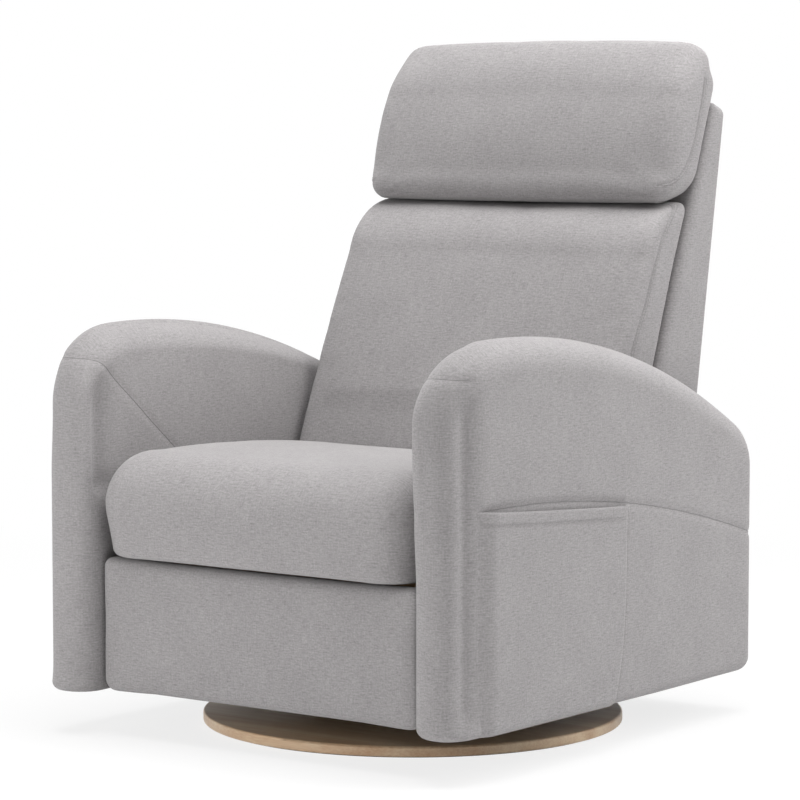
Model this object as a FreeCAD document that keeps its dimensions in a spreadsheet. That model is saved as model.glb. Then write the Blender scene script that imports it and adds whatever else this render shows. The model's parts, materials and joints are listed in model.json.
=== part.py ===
import FreeCAD, Part
import math
import os
import re
import Sketcher
from FreeCAD import Placement, Rotation, Vector

# Swivel rocker recliner.  Millimetres; up is +Z, the front faces -Y and the
# swivel axis is the Z axis with the floor at zero.  The sitter's left is +X.

# Driving sizes
SIZES = {
    "base_diameter": 610, "base_thickness": 15, "base_edge_round": 3, "base_pad_thickness": 2,
    "base_pad_inset": 9,
    "plate_side": 200, "plate_thickness": 4, "bolt_inset": 20, "bolt_diameter": 8,
    "bolt_head_diameter": 13, "bolt_head_height": 5, "king_bolt_diameter": 16,
    "king_head_diameter": 28, "king_head_height": 7, "ring_outer": 150, "ring_inner": 90,
    "ring_clearance": 0.8, "turntable_side_margin": 20, "turntable_end_margin": 27,
    "rock_axis_height": 105, "rock_shaft_diameter": 20, "rock_bracket_gap": 108,
    "rock_bracket_thickness": 6, "rock_bracket_width": 80, "rock_bracket_foot": 40,
    "rocker_side_play": 3, "rocker_rail_width": 36, "rocker_rail_height": 40,
    "rocker_rail_length": 390, "rocker_spring_place": 98, "rocker_spring_radius": 14,
    "rocker_spring_wire": 4, "rocker_spring_turns": 5, "bumper_place": 52, "bumper_diameter": 20,
    "bumper_height": 46, "cross_tube_side": 30, "cross_tube_inset": 30, "cross_tube_wall": 2.5,
    "seat_rail_thickness": 22, "seat_rail_bottom": 95, "seat_rail_height": 100,
    "seat_rail_front": 285,
    "arm_inner": 279.5, "arm_thickness": 86.5, "arm_bottom": 61.5, "arm_front": 401, "arm_rear": 365,
    "arm_top": 583, "arm_crest": 240, "arm_top_radius": 1150, "arm_front_radius": 110,
    "arm_rear_radius": 95, "arm_edge_round": 40, "arm_board_thickness": 18, "arm_board_drop": 183,
    "arm_board_front_margin": 51, "arm_board_rear_margin": 50, "arm_bolt_height": 118,
    "arm_bolt_front": 225, "arm_bolt_rear": 262,
    "pocket_front_margin": 46, "pocket_rear": 8, "pocket_lift": 14.5, "pocket_height": 261,
    "pocket_depth": 9, "pocket_cloth": 3, "pocket_hem": 12, "pocket_round": 4,
    "rear_panel_inset": 25, "rear_panel_thickness": 20, "rear_panel_height": 200.5,
    "rear_panel_round": 8, "dust_cover_thickness": 2,
    "seat_side_gap": 5.5, "seat_bottom": 258.3, "seat_front": 394, "seat_rear": 66.8,
    "seat_thickness": 149.7, "seat_rear_drop": 22, "seat_nose_rise": 71.7,
    "spring_rail_height": 32, "spring_rail_width": 24, "front_rail_place": 226,
    "rear_rail_place": 66, "seat_spring_wire": 3.6, "seat_spring_step": 82,
    "seat_spring_width": 36, "seat_spring_bend": 9.5,
    "mechanism_plate_thickness": 4, "mechanism_plate_bottom": 160, "mechanism_plate_drop": 5.3,
    "mechanism_plate_front_margin": 18, "mechanism_plate_rear_margin": 25,
    "link_thickness": 5, "link_width": 22, "pin_diameter": 10, "stud_diameter": 8, "play": 0.05,
    "gap": 0.3,
    "footrest_pivot_front": 270, "footrest_pivot_height": 230, "lower_link_length": 150,
    "lower_link_angle": -95, "upper_link_length": 147.2, "upper_link_angle": 71.3,
    "crank_length": 35.1, "crank_angle": -137.5, "torsion_rod_diameter": 14,
    "footrest_front": 369, "footrest_side_gap": 5, "footrest_bottom": 63.5, "footrest_height": 192,
    "footrest_pad_thickness": 35, "footrest_board_thickness": 12, "footrest_round": 14,
    "footrest_bracket_width": 30,
    "back_pivot_rear": 165, "back_pivot_height": 285, "back_lean": 20.86, "lever_length": 100,
    "lever_angle": 15, "back_strap_length": 190, "back_foot_ahead": 18, "back_foot_rise": 15,
    "back_side_gap": 5.5, "back_length": 640, "back_bottom_depth": 151.4, "back_bottom_rise": 57.7,
    "back_top_depth": 35, "back_wall": 12, "back_edge_round": 9, "stile_width": 22,
    "stile_depth": 22, "stile_lift": 12, "back_rail_height": 60,
    "back_cushion_inset": 6, "back_cushion_thickness": 104.5, "headrest_inset": 11,
    "headrest_thickness": 87.2, "headrest_drop": 153.4, "headrest_length": 231.8,
    "cushion_rest_gap": 0.45, "cushion_crown": 8, "seat_end_round": 46, "back_end_round": 40,
    "skirt_radius": 143, "skirt_thickness": 6, "skirt_inset": 26, "skirt_angle": 44,
    "skirt_rise": 5.9,
}

# Places worked out from the driving sizes
PLACES = {
    "base_pad_diameter": "base_diameter - 2 * base_pad_inset",
    "base_bottom": "base_pad_thickness",
    "base_top": "base_bottom + base_thickness",
    "plate_top": "base_top + plate_thickness",
    "bolt_spacing": "plate_side - 2 * bolt_inset",
    "ring_top": "plate_top + bolt_head_height + ring_clearance",
    "turntable_bottom": "ring_top + 0.2",
    "turntable_top": "turntable_bottom + plate_thickness",
    "rocker_rail_bottom": "rock_axis_height - rocker_rail_height / 2",
    "rocker_rail_top": "rock_axis_height + rocker_rail_height / 2",
    "rocker_rail_gap": "rock_bracket_gap + rock_bracket_thickness + rocker_side_play",
    "rocker_rail_middle": "rocker_rail_gap + rocker_rail_width / 2",
    "turntable_length": "2 * (rocker_rail_middle + turntable_side_margin)",
    "turntable_width": "2 * (rocker_spring_place + turntable_end_margin)",
    "cross_tube_place": "rocker_rail_length / 2 - cross_tube_inset",
    "dust_cover_inner": "rocker_rail_length / 2",
    "arm_outer": "arm_inner + arm_thickness",
    "arm_board_inner": "arm_inner + (arm_thickness - arm_board_thickness) / 2",
    "arm_board_front": "arm_front - arm_board_front_margin",
    "arm_board_rear": "arm_rear - arm_board_rear_margin",
    "arm_board_top": "arm_top - arm_board_drop",
    "pocket_front": "arm_front - pocket_front_margin",
    "pocket_bottom": "arm_bottom + pocket_lift",
    "pocket_top": "pocket_bottom + pocket_height",
    "rear_panel_front": "arm_rear - rear_panel_inset",
    "rear_panel_top": "arm_bottom + rear_panel_height",
    "seat_half": "arm_inner - seat_side_gap",
    "seat_crown": "seat_bottom + seat_thickness",
    "seat_rear_height": "seat_crown - seat_rear_drop",
    "seat_nose_height": "seat_bottom + seat_nose_rise",
    "footrest_half": "arm_inner - footrest_side_gap",
    "footrest_top": "footrest_bottom + footrest_height",
    "mechanism_plate_top": "seat_bottom - mechanism_plate_drop",
    "mechanism_plate_front": "footrest_pivot_front + mechanism_plate_front_margin",
    "mechanism_plate_rear": "back_pivot_rear + mechanism_plate_rear_margin",
    "back_foot_rear": "back_pivot_rear - back_foot_ahead",
    "back_foot_height": "back_pivot_height + back_foot_rise",
    "back_half": "arm_inner - back_side_gap",
    "back_cushion_half": "back_half - back_cushion_inset",
    "back_cushion_top": "back_length - headrest_drop",
    "headrest_half": "back_half - headrest_inset",
    "headrest_bottom": "back_cushion_top + gap",
    "headrest_top": "headrest_bottom + headrest_length",
    "skirt_half": "back_half - skirt_inset",
    "seat_rail_outer": "arm_inner - gap",
    "seat_rail_inner": "seat_rail_outer - seat_rail_thickness",
    "plate_outer": "seat_rail_inner - gap",
    "plate_inner": "plate_outer - mechanism_plate_thickness",
    "link_outer": "plate_inner - gap",
    "link_inner": "link_outer - link_thickness",
    "second_outer": "link_inner - gap",
    "second_inner": "second_outer - link_thickness",
    "third_outer": "second_inner - gap",
    "third_inner": "third_outer - link_thickness",
    "spring_rail_bottom": "spring_rail_top - spring_rail_height",
    "spring_rail_top": "seat_bottom - 2 * gap - seat_spring_wire - 0.2",
    "bore_radius": "pin_diameter / 2 + play",
    "stud_bore_radius": "stud_diameter / 2 + play",
    "footrest_board_front": "footrest_front - footrest_pad_thickness",
    "footrest_board_rear": "footrest_board_front - footrest_board_thickness",
}

doc = FreeCAD.newDocument("swivel_rocker_recliner")
sizes = doc.addObject("Spreadsheet::Sheet", "sizes")
for row, (alias, value) in enumerate(SIZES.items(), start=1):
    sizes.set("A%d" % row, alias.replace("_", " "))
    sizes.set("B%d" % row, str(value))
    sizes.setAlias("B%d" % row, alias)
doc.recompute()

WORD = re.compile(r"[A-Za-z_][A-Za-z_0-9]*")


def formula(text):
    """A text over sizes and places, written out over the cells of the sheet."""
    def swap(match):
        word = match.group()
        if word in SIZES:
            return "sizes." + word
        if word in PLACES:
            return "(" + formula(PLACES[word]) + ")"
        return word
    return WORD.sub(swap, str(text))


def number(text):
    """The value that the sheet gives a text over sizes and places."""
    return float(sizes.evalExpression(formula(text)))


def bind(thing, **texts):
    for name, text in texts.items():
        thing.setExpression(name, formula(text))


def put(thing, x=0, y=0, z=0):
    """Bind where a piece stands."""
    for axis, text in zip("xyz", (x, y, z)):
        thing.setExpression("Placement.Base." + axis, formula(text))
    return thing


# Plain solids
def box(name, x0, x1, y0, y1, z0, z1, frame=None):
    block = doc.addObject("Part::Box", name)
    bind(block, Length="(%s) - (%s)" % (x1, x0), Width="(%s) - (%s)" % (y1, y0),
         Height="(%s) - (%s)" % (z1, z0))
    if frame is None:
        return put(block, x0, y0, z0)
    corner = Vector(number(x0), number(y0), number(z0))
    block.Placement = frame.multiply(Placement(corner, Rotation()))
    return block


def rod_z(name, radius, x, y, z0, z1):
    rod = doc.addObject("Part::Cylinder", name)
    bind(rod, Radius=radius, Height="(%s) - (%s)" % (z1, z0))
    return put(rod, x, y, z0)


def rod_x(name, radius, x0, x1, y, z):
    rod = doc.addObject("Part::Cylinder", name)
    rod.Placement = Placement(Vector(), Rotation(Vector(0, 1, 0), 90))
    bind(rod, Radius=radius, Height="(%s) - (%s)" % (x1, x0))
    return put(rod, x0, y, z)


def join(name, pieces):
    fused = doc.addObject("Part::MultiFuse", name)
    fused.Shapes = pieces
    fused.Refine = True
    return fused


def cut(name, base, tool):
    left = doc.addObject("Part::Cut", name)
    left.Base = base
    left.Tool = tool
    return left


def group(name, pieces):
    together = doc.addObject("Part::Compound", name)
    together.Links = pieces
    return together


nodes = []


def node(piece, label):
    """Mark a finished piece; its label names its file."""
    piece.Label = label
    nodes.append(piece)
    return piece


SIDES = (("left", 1), ("right", -1))


def span(side, near, far):
    """Low and high X of a piece that reaches from near to far on one side."""
    if side > 0:
        return near, far
    return "-(%s)" % far, "-(%s)" % near


# Sketches
def sketch_on(body, plane, name, offset="0"):
    sketch = body.newObject("Sketcher::SketchObject", name)
    face = [f for f in body.Origin.OriginFeatures if f.Role == plane][0]
    sketch.AttachmentSupport = [(face, "")]
    sketch.MapMode = "FlatFace"
    sketch.setExpression("AttachmentOffset.Base.z", formula(offset))
    doc.recompute()
    return sketch


def hold(sketch, kind, geo, point, text):
    """Hold one coordinate of a sketch point at a text over the sizes."""
    place = number(text)
    if abs(place) < 1e-9:
        axis = -2 if kind == "DistanceX" else -1
        sketch.addConstraint(Sketcher.Constraint("PointOnObject", geo, point, axis))
    elif place > 0:
        at = sketch.addConstraint(Sketcher.Constraint(kind, -1, 1, geo, point, place))
        sketch.setExpression("Constraints[%d]" % at, formula(text))
    else:
        at = sketch.addConstraint(Sketcher.Constraint(kind, geo, point, -1, 1, -place))
        sketch.setExpression("Constraints[%d]" % at, formula("-(%s)" % text))


def outline(sketch, corners):
    """A closed polygon through corners given as pairs of texts."""
    spots = [Vector(number(u), number(v), 0) for u, v in corners]
    count = len(spots)
    first = sketch.GeometryCount
    for i in range(count):
        sketch.addGeometry(Part.LineSegment(spots[i], spots[(i + 1) % count]), False)
    for i in range(count):
        sketch.addConstraint(Sketcher.Constraint("Coincident", first + i, 2, first + (i + 1) % count, 1))
    for i, (u, v) in enumerate(corners):
        hold(sketch, "DistanceX", first + i, 1, u)
        hold(sketch, "DistanceY", first + i, 1, v)


def rectangle(sketch, u0, u1, v0, v1):
    outline(sketch, [(u0, v0), (u1, v0), (u1, v1), (u0, v1)])


def circle(sketch, u, v, radius):
    ring = Part.Circle(Vector(number(u), number(v), 0), Vector(0, 0, 1), number(radius))
    at = sketch.addGeometry(ring, False)
    hold(sketch, "DistanceX", at, 3, u)
    hold(sketch, "DistanceY", at, 3, v)
    wide = sketch.addConstraint(Sketcher.Constraint("Radius", at, number(radius)))
    sketch.setExpression("Constraints[%d]" % wide, formula(radius))


def pad(body, sketch, length, name):
    raised = body.newObject("PartDesign::Pad", name)
    raised.Profile = sketch
    bind(raised, Length=length)
    doc.recompute()
    return raised


def pocket(body, sketch, depth, name, upward=True):
    sunk = body.newObject("PartDesign::Pocket", name)
    sunk.Profile = sketch
    bind(sunk, Length=depth)
    sunk.Reversed = upward
    before = body.Shape.Volume
    doc.recompute()
    if body.Shape.Volume > before - 1e-6:
        raise RuntimeError(name + " cuts nothing")
    return sunk


def round_edges(body, feature, wanted, radius, name):
    """Round the edges of a feature that the given test picks."""
    picked = ["Edge%d" % (i + 1) for i, edge in enumerate(feature.Shape.Edges) if wanted(edge)]
    rounded = body.newObject("PartDesign::Fillet", name)
    rounded.Base = (feature, picked)
    bind(rounded, Radius=radius)
    doc.recompute()
    return rounded


def new_body(name):
    return doc.addObject("PartDesign::Body", name)


def slab(name, plane, offset, thickness, corners, holes=()):
    """A flat plate with round holes, sketched on one plane and raised along its normal."""
    body = new_body(name)
    sketch = sketch_on(body, plane, name + "_sketch", offset)
    outline(sketch, corners)
    for u, v, radius in holes:
        circle(sketch, u, v, radius)
    pad(body, sketch, thickness, name + "_pad")
    return body


def square(half_u, half_v):
    return [("-(%s)" % half_u, "-(%s)" % half_v), (half_u, "-(%s)" % half_v),
            (half_u, half_v), ("-(%s)" % half_u, half_v)]


# Base on the floor
node(rod_z("base_pad", "base_pad_diameter / 2", 0, 0, 0, "base_pad_thickness"), "base_pad")

BOLT_CORNERS = [(sx, sy) for sx in ("", "-") for sy in ("", "-")]
BOLT_SPOTS = [(sx + "bolt_spacing / 2", sy + "bolt_spacing / 2") for sx, sy in BOLT_CORNERS]
disc = new_body("base_disc")
disc_sketch = sketch_on(disc, "XY_Plane", "disc_sketch", "base_bottom")
circle(disc_sketch, "0", "0", "base_diameter / 2")
circle(disc_sketch, "0", "0", "king_bolt_diameter / 2 + play")
for u, v in BOLT_SPOTS:
    circle(disc_sketch, u, v, "bolt_diameter / 2 + play")
disc_pad = pad(disc, disc_sketch, "base_thickness", "disc_pad")
sink_sketch = sketch_on(disc, "XY_Plane", "sink_sketch", "base_bottom")
circle(sink_sketch, "0", "0", "king_head_diameter / 2 + 1")
disc_sink = pocket(disc, sink_sketch, "king_head_height + gap", "disc_sink")
rim = number("base_diameter / 2")
round_edges(disc, disc_sink, lambda e: abs(getattr(e.Curve, "Radius", 0) - rim) < 1e-6 and e.isClosed(),
            "base_edge_round", "disc_round")
node(disc, "base_disc")

node(slab("swivel_base_plate", "XY_Plane", "base_top", "plate_thickness",
          square("plate_side / 2", "plate_side / 2"),
          [("0", "0", "king_bolt_diameter / 2 + play")]
          + [(u, v, "bolt_diameter / 2 + play") for u, v in BOLT_SPOTS]), "swivel_base_plate")

bolts = []
for i, (u, v) in enumerate(BOLT_SPOTS):
    shank = rod_z("plate_shank_%d" % i, "bolt_diameter / 2", u, v, "base_bottom + 3", "plate_top")
    head = rod_z("plate_head_%d" % i, "bolt_head_diameter / 2", u, v, "plate_top",
                 "plate_top + bolt_head_height")
    bolts.append(join("plate_bolt_%d" % i, [shank, head]))
node(group("plate_bolts", bolts), "swivel_plate_bolts")

node(cut("thrust_ring", rod_z("ring_blank", "ring_outer / 2", 0, 0, "plate_top", "ring_top"),
         rod_z("ring_bore", "ring_inner / 2", 0, 0, "plate_top - 1", "ring_top + 1")), "swivel_thrust_ring")

KING_SEAT = "base_bottom + king_head_height + gap"
king_head = rod_z("king_head", "king_head_diameter / 2", 0, 0, "base_bottom + gap", KING_SEAT)
king_shank = rod_z("king_shank", "king_bolt_diameter / 2", 0, 0, KING_SEAT, "turntable_top + 16")
node(join("king_bolt", [king_head, king_shank]), "king_bolt")

nut_blank = doc.addObject("Part::Prism", "nut_blank")
nut_blank.Polygon = 6
bind(nut_blank, Circumradius="king_head_diameter / 2", Height="12")
put(nut_blank, 0, 0, "turntable_top + gap")
nut_bore = rod_z("nut_bore", "king_bolt_diameter / 2 + play", 0, 0, "turntable_top", "turntable_top + 20")
node(cut("king_nut", nut_blank, nut_bore), "king_nut")

# Turntable, which turns on the base and carries the rock bearings
node(slab("turntable_plate", "XY_Plane", "turntable_bottom", "plate_thickness",
          square("turntable_length / 2", "turntable_width / 2"),
          [("0", "0", "king_bolt_diameter / 2 + play")]), "turntable_plate")

for label, side in SIDES:
    bracket = new_body("rock_bracket_" + label)
    low, high = span(side, "rock_bracket_gap", "rock_bracket_gap + rock_bracket_thickness")
    ear = sketch_on(bracket, "YZ_Plane", "ear_sketch_" + label, low)
    half = "rock_bracket_width / 2"
    outline(ear, [("-" + half, "turntable_top"), (half, "turntable_top"),
                  ("rock_shaft_diameter", "rock_axis_height + rock_shaft_diameter * 0.7"),
                  ("-rock_shaft_diameter", "rock_axis_height + rock_shaft_diameter * 0.7")])
    circle(ear, "0", "rock_axis_height", "rock_shaft_diameter / 2 + play")
    pad(bracket, ear, "rock_bracket_thickness", "ear_pad_" + label)
    low, high = span(side, "rock_bracket_gap - rock_bracket_foot",
                     "rock_bracket_gap + rock_bracket_thickness / 2")
    foot = sketch_on(bracket, "XY_Plane", "foot_sketch_" + label, "turntable_top")
    rectangle(foot, low, high, "-" + half, half)
    pad(bracket, foot, "rock_bracket_thickness", "foot_pad_" + label)
    node(bracket, "rock_bracket_" + label)

RAIL_CORNERS = [(sx + "rocker_rail_middle", sy) for sx in ("", "-") for sy in ("", "-")]
bumpers = []
for i, (u, sy) in enumerate(RAIL_CORNERS):
    bumpers.append(rod_z("bumper_%d" % i, "bumper_diameter / 2", u, sy + "bumper_place",
                         "turntable_top", "turntable_top + bumper_height"))
node(group("bumper_group", bumpers), "rock_bumpers")


def coil(height, radius, wire, turns):
    """A compression spring standing on the origin, one unbroken tube."""
    rise = height - wire
    path = Part.makeHelix(rise / turns, rise, radius)
    start = path.Edges[0].valueAt(path.Edges[0].FirstParameter)
    along = path.Edges[0].tangentAt(path.Edges[0].FirstParameter)
    ring = Part.Wire([Part.makeCircle(wire / 2, start, along)])
    tube = Part.Wire(path.Edges).makePipeShell([ring], True, True)
    tube.translate(Vector(0, 0, wire / 2))
    return tube


spring_height = number("rocker_rail_bottom - turntable_top - 1")
one_coil = coil(spring_height, number("rocker_spring_radius"), number("rocker_spring_wire"),
                number("rocker_spring_turns"))
coils = []
for u, sy in RAIL_CORNERS:
    copy = one_coil.copy()
    copy.translate(Vector(number(u), number(sy + "rocker_spring_place"), number("turntable_top + 0.5")))
    coils.append(copy)
springs = doc.addObject("Part::Feature", "rocker_springs")
springs.Shape = Part.makeCompound(coils)
node(springs, "rocker_springs")

# Rocking frame
node(rod_x("rock_shaft", "rock_shaft_diameter / 2", "-(rocker_rail_gap + rocker_rail_width + 4)",
           "rocker_rail_gap + rocker_rail_width + 4", 0, "rock_axis_height"), "rock_shaft")

for label, side in SIDES:
    low, high = span(side, "rocker_rail_gap", "rocker_rail_gap + rocker_rail_width")
    half = "rocker_rail_length / 2"
    node(slab("rocker_rail_" + label, "YZ_Plane", low, "rocker_rail_width",
              [("-" + half, "rocker_rail_bottom"), (half, "rocker_rail_bottom"),
               (half, "rocker_rail_top"), ("-" + half, "rocker_rail_top")],
              [("0", "rock_axis_height", "rock_shaft_diameter / 2 + play")]), "rocker_rail_" + label)

for label, sign in (("front", "-"), ("rear", "")):
    tube = new_body("cross_tube_" + label)
    ends = sketch_on(tube, "YZ_Plane", "tube_sketch_" + label, "-(seat_rail_inner - gap)")
    middle = sign + "cross_tube_place"
    low, high = middle + " - cross_tube_side / 2", middle + " + cross_tube_side / 2"
    rectangle(ends, low, high, "rocker_rail_top", "rocker_rail_top + cross_tube_side")
    rectangle(ends, low + " + cross_tube_wall", high + " - cross_tube_wall",
              "rocker_rail_top + cross_tube_wall", "rocker_rail_top + cross_tube_side - cross_tube_wall")
    pad(tube, ends, "2 * (seat_rail_inner - gap)", "tube_pad_" + label)
    node(tube, "cross_tube_" + label)

# Wooden seat box
ARM_BOLT_SPOTS = ["-arm_bolt_front", "0", "arm_bolt_rear"]
SEAT_RAIL_TOP = "seat_rail_bottom + seat_rail_height"
for label, side in SIDES:
    low, high = span(side, "seat_rail_inner", "seat_rail_outer")
    rear = "rear_panel_front - gap"
    node(slab("seat_rail_" + label, "YZ_Plane", low, "seat_rail_thickness",
              [("-seat_rail_front", "seat_rail_bottom"), (rear, "seat_rail_bottom"),
               (rear, SEAT_RAIL_TOP), ("-seat_rail_front", SEAT_RAIL_TOP)],
              [(y, "arm_bolt_height", "bolt_diameter / 2 + play") for y in ARM_BOLT_SPOTS]),
         "seat_rail_" + label)

for label, place in (("front_rail", "-front_rail_place"), ("rear_spring_rail", "rear_rail_place")):
    node(box(label, "-(plate_inner - gap)", "plate_inner - gap", place + " - spring_rail_width / 2",
             place + " + spring_rail_width / 2", "spring_rail_bottom", "spring_rail_top"), label)


def sinuous(y0, y1, width, bend, wire, x, z):
    """A flat zigzag wire spring that runs from y0 to y1."""
    half = width / 2 - bend
    bends = max(3, int((y1 - y0) / (2 * bend)))
    step = (y1 - y0) / bends
    edges = []
    side = 1
    spot = Vector(x, y0, z)
    for i in range(bends):
        corner = Vector(x + side * half, y0 + i * step, z)
        edges.append(Part.LineSegment(spot, corner).toShape())
        turn = Vector(x + side * (half + step / 2), y0 + (i + 0.5) * step, z)
        spot = Vector(x + side * half, y0 + (i + 1) * step, z)
        edges.append(Part.Arc(corner, turn, spot).toShape())
        side = -side
    edges.append(Part.LineSegment(spot, Vector(x, spot.y, z)).toShape())
    path = Part.Wire(edges)
    ring = Part.Wire([Part.makeCircle(wire / 2, Vector(x, y0, z), Vector(1, 0, 0))])
    return path.makePipeShell([ring], True, False)


zigzags = []
for place in (-2, -1, 0, 1, 2):
    zigzags.append(sinuous(number("-front_rail_place"), number("rear_rail_place"),
                           number("seat_spring_width"), number("seat_spring_bend"),
                           number("seat_spring_wire"), place * number("seat_spring_step"),
                           number("spring_rail_top + 0.2 + seat_spring_wire / 2")))
seat_springs = doc.addObject("Part::Feature", "seat_springs")
seat_springs.Shape = Part.makeCompound(zigzags)
node(seat_springs, "seat_springs")

panel = new_body("rear_panel")
panel_sketch = sketch_on(panel, "XY_Plane", "panel_sketch", "arm_bottom")
rectangle(panel_sketch, "-(arm_inner - 2 * gap)", "arm_inner - 2 * gap", "rear_panel_front",
          "rear_panel_front + rear_panel_thickness")
panel_pad = pad(panel, panel_sketch, "rear_panel_top - arm_bottom", "panel_pad")
panel_rear = number("rear_panel_front + rear_panel_thickness")


def on_rear_face(edge):
    return min(v.Point.y for v in edge.Vertexes) > panel_rear - 1e-6


round_edges(panel, panel_pad, on_rear_face, "rear_panel_round", "panel_round")
node(panel, "rear_panel")

COVER_HALF = "arm_inner - 2 * gap"
node(box("dust_cover_front", "-(%s)" % COVER_HALF, COVER_HALF, "-seat_rail_front", "-dust_cover_inner",
         "arm_bottom", "arm_bottom + dust_cover_thickness"), "dust_cover_front")
node(box("dust_cover_rear", "-(%s)" % COVER_HALF, COVER_HALF, "dust_cover_inner", "rear_panel_front - gap",
         "arm_bottom", "arm_bottom + dust_cover_thickness"), "dust_cover_rear")

# Arms with their boards, bolts and pockets
bolts = []
for label, side in SIDES:
    low, high = span(side, "arm_board_inner", "arm_board_inner + arm_board_thickness")
    board_top = "arm_board_top - gap"
    node(slab("arm_frame_" + label, "YZ_Plane", low, "arm_board_thickness",
              [("-arm_board_front", "arm_bottom"), ("arm_board_rear", "arm_bottom"),
               ("arm_board_rear", board_top), ("-arm_board_front", board_top)],
              [(y, "arm_bolt_height", "bolt_diameter / 2 + play") for y in ARM_BOLT_SPOTS]),
         "arm_frame_" + label)

    low, high = span(side, "arm_inner", "arm_outer")
    arm = new_body("arm_" + label)
    side_view = sketch_on(arm, "YZ_Plane", "arm_sketch_" + label, low)
    front, rear, bottom = -number("arm_front"), number("arm_rear"), number("arm_bottom")
    top_r, front_r, rear_r = number("arm_top_radius"), number("arm_front_radius"), number("arm_rear_radius")
    hub = Vector(-number("arm_crest"), number("arm_top") - top_r, 0)
    front_hub = Vector(front + front_r, 0, 0)
    front_hub.y = hub.y + math.sqrt((top_r - front_r) ** 2 - (front_hub.x - hub.x) ** 2)
    rear_hub = Vector(rear - rear_r, 0, 0)
    rear_hub.y = hub.y + math.sqrt((top_r - rear_r) ** 2 - (rear_hub.x - hub.x) ** 2)
    a_front = math.atan2(front_hub.y - hub.y, front_hub.x - hub.x)
    a_rear = math.atan2(rear_hub.y - hub.y, rear_hub.x - hub.x)
    up = Vector(0, 0, 1)
    for piece in (
            Part.LineSegment(Vector(rear, bottom, 0), Vector(front, bottom, 0)),
            Part.LineSegment(Vector(front, bottom, 0), Vector(front, front_hub.y, 0)),
            Part.ArcOfCircle(Part.Circle(front_hub, up, front_r), a_front, math.pi),
            Part.ArcOfCircle(Part.Circle(hub, up, top_r), a_rear, a_front),
            Part.ArcOfCircle(Part.Circle(rear_hub, up, rear_r), 0, a_rear),
            Part.LineSegment(Vector(rear, rear_hub.y, 0), Vector(rear, bottom, 0))):
        side_view.addGeometry(piece, False)
    for kind, first, first_point, second, second_point in (
            ("Coincident", 0, 2, 1, 1), ("Tangent", 1, 2, 2, 2), ("Tangent", 2, 1, 3, 2),
            ("Tangent", 3, 1, 4, 2), ("Tangent", 4, 1, 5, 1), ("Coincident", 5, 2, 0, 1)):
        side_view.addConstraint(Sketcher.Constraint(kind, first, first_point, second, second_point))
    side_view.addConstraint(Sketcher.Constraint("Horizontal", 0))
    side_view.addConstraint(Sketcher.Constraint("Vertical", 1))
    side_view.addConstraint(Sketcher.Constraint("Vertical", 5))
    for geo, text in ((2, "arm_front_radius"), (3, "arm_top_radius"), (4, "arm_rear_radius")):
        at = side_view.addConstraint(Sketcher.Constraint("Radius", geo, number(text)))
        side_view.setExpression("Constraints[%d]" % at, formula(text))
    hold(side_view, "DistanceX", 1, 1, "-arm_front")
    hold(side_view, "DistanceX", 5, 2, "arm_rear")
    hold(side_view, "DistanceY", 0, 1, "arm_bottom")
    hold(side_view, "DistanceX", 3, 3, "-arm_crest")
    hold(side_view, "DistanceY", 3, 3, "arm_top - arm_top_radius")
    arm_pad = pad(arm, side_view, "arm_thickness", "arm_pad_" + label)
    above = bottom + 1

    def on_side_face(edge):
        box_of = edge.BoundBox
        return box_of.XLength < 1e-6 and box_of.ZMax > above

    round_edges(arm, arm_pad, on_side_face, "arm_edge_round", "arm_round_" + label)
    slot = sketch_on(arm, "XY_Plane", "arm_slot_" + label, "arm_bottom")
    low, high = span(side, "arm_board_inner - gap", "arm_board_inner + arm_board_thickness + gap")
    rectangle(slot, low, high, "-(arm_board_front + gap)", "arm_board_rear + gap")
    pocket(arm, slot, "arm_board_top - arm_bottom", "arm_slot_cut_" + label)
    holes = sketch_on(arm, "YZ_Plane", "arm_holes_" + label,
                      "arm_inner" if side > 0 else "-arm_inner")
    for y in ARM_BOLT_SPOTS:
        circle(holes, y, "arm_bolt_height", "bolt_diameter / 2 + play")
    pocket(arm, holes, "(arm_thickness - arm_board_thickness) / 2", "arm_hole_cut_" + label, side > 0)
    node(arm, "arm_" + label)

    for i, y in enumerate(ARM_BOLT_SPOTS):
        low, high = span(side, "seat_rail_inner", "arm_board_inner + arm_board_thickness")
        shank = rod_x("arm_shank_%s_%d" % (label, i), "bolt_diameter / 2", low, high, y, "arm_bolt_height")
        low, high = span(side, "seat_rail_inner - bolt_head_height", "seat_rail_inner")
        head = rod_x("arm_head_%s_%d" % (label, i), "bolt_head_diameter / 2", low, high, y,
                     "arm_bolt_height")
        bolts.append(join("arm_bolt_%s_%d" % (label, i), [shank, head]))

    cloth = new_body("pocket_" + label)
    low, high = span(side, "arm_outer", "arm_outer + pocket_depth")
    face = sketch_on(cloth, "YZ_Plane", "pocket_sketch_" + label, low)
    rectangle(face, "-pocket_front", "-pocket_rear", "pocket_bottom", "pocket_top")
    cloth_pad = pad(cloth, face, "pocket_depth", "pocket_pad_" + label)
    outer = number("arm_outer + pocket_depth")
    brim = number("pocket_top")

    def on_outer_face(edge):
        box_of = edge.BoundBox
        return abs(abs(box_of.XMin) - outer) < 1e-6 and box_of.XLength < 1e-6 and box_of.ZMin < brim - 1

    round_edges(cloth, cloth_pad, on_outer_face, "pocket_round", "pocket_soft_" + label)
    inside = sketch_on(cloth, "XY_Plane", "pocket_inside_" + label, "pocket_bottom + pocket_hem")
    low, high = span(side, "arm_outer", "arm_outer + pocket_depth - pocket_cloth")
    rectangle(inside, low, high, "-(pocket_front - pocket_hem)", "-(pocket_rear + pocket_hem)")
    pocket(cloth, inside, "pocket_top - pocket_bottom", "pocket_hollow_" + label)
    node(cloth, "pocket_" + label)
node(group("arm_bolt_group", bolts), "arm_bolts")

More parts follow.
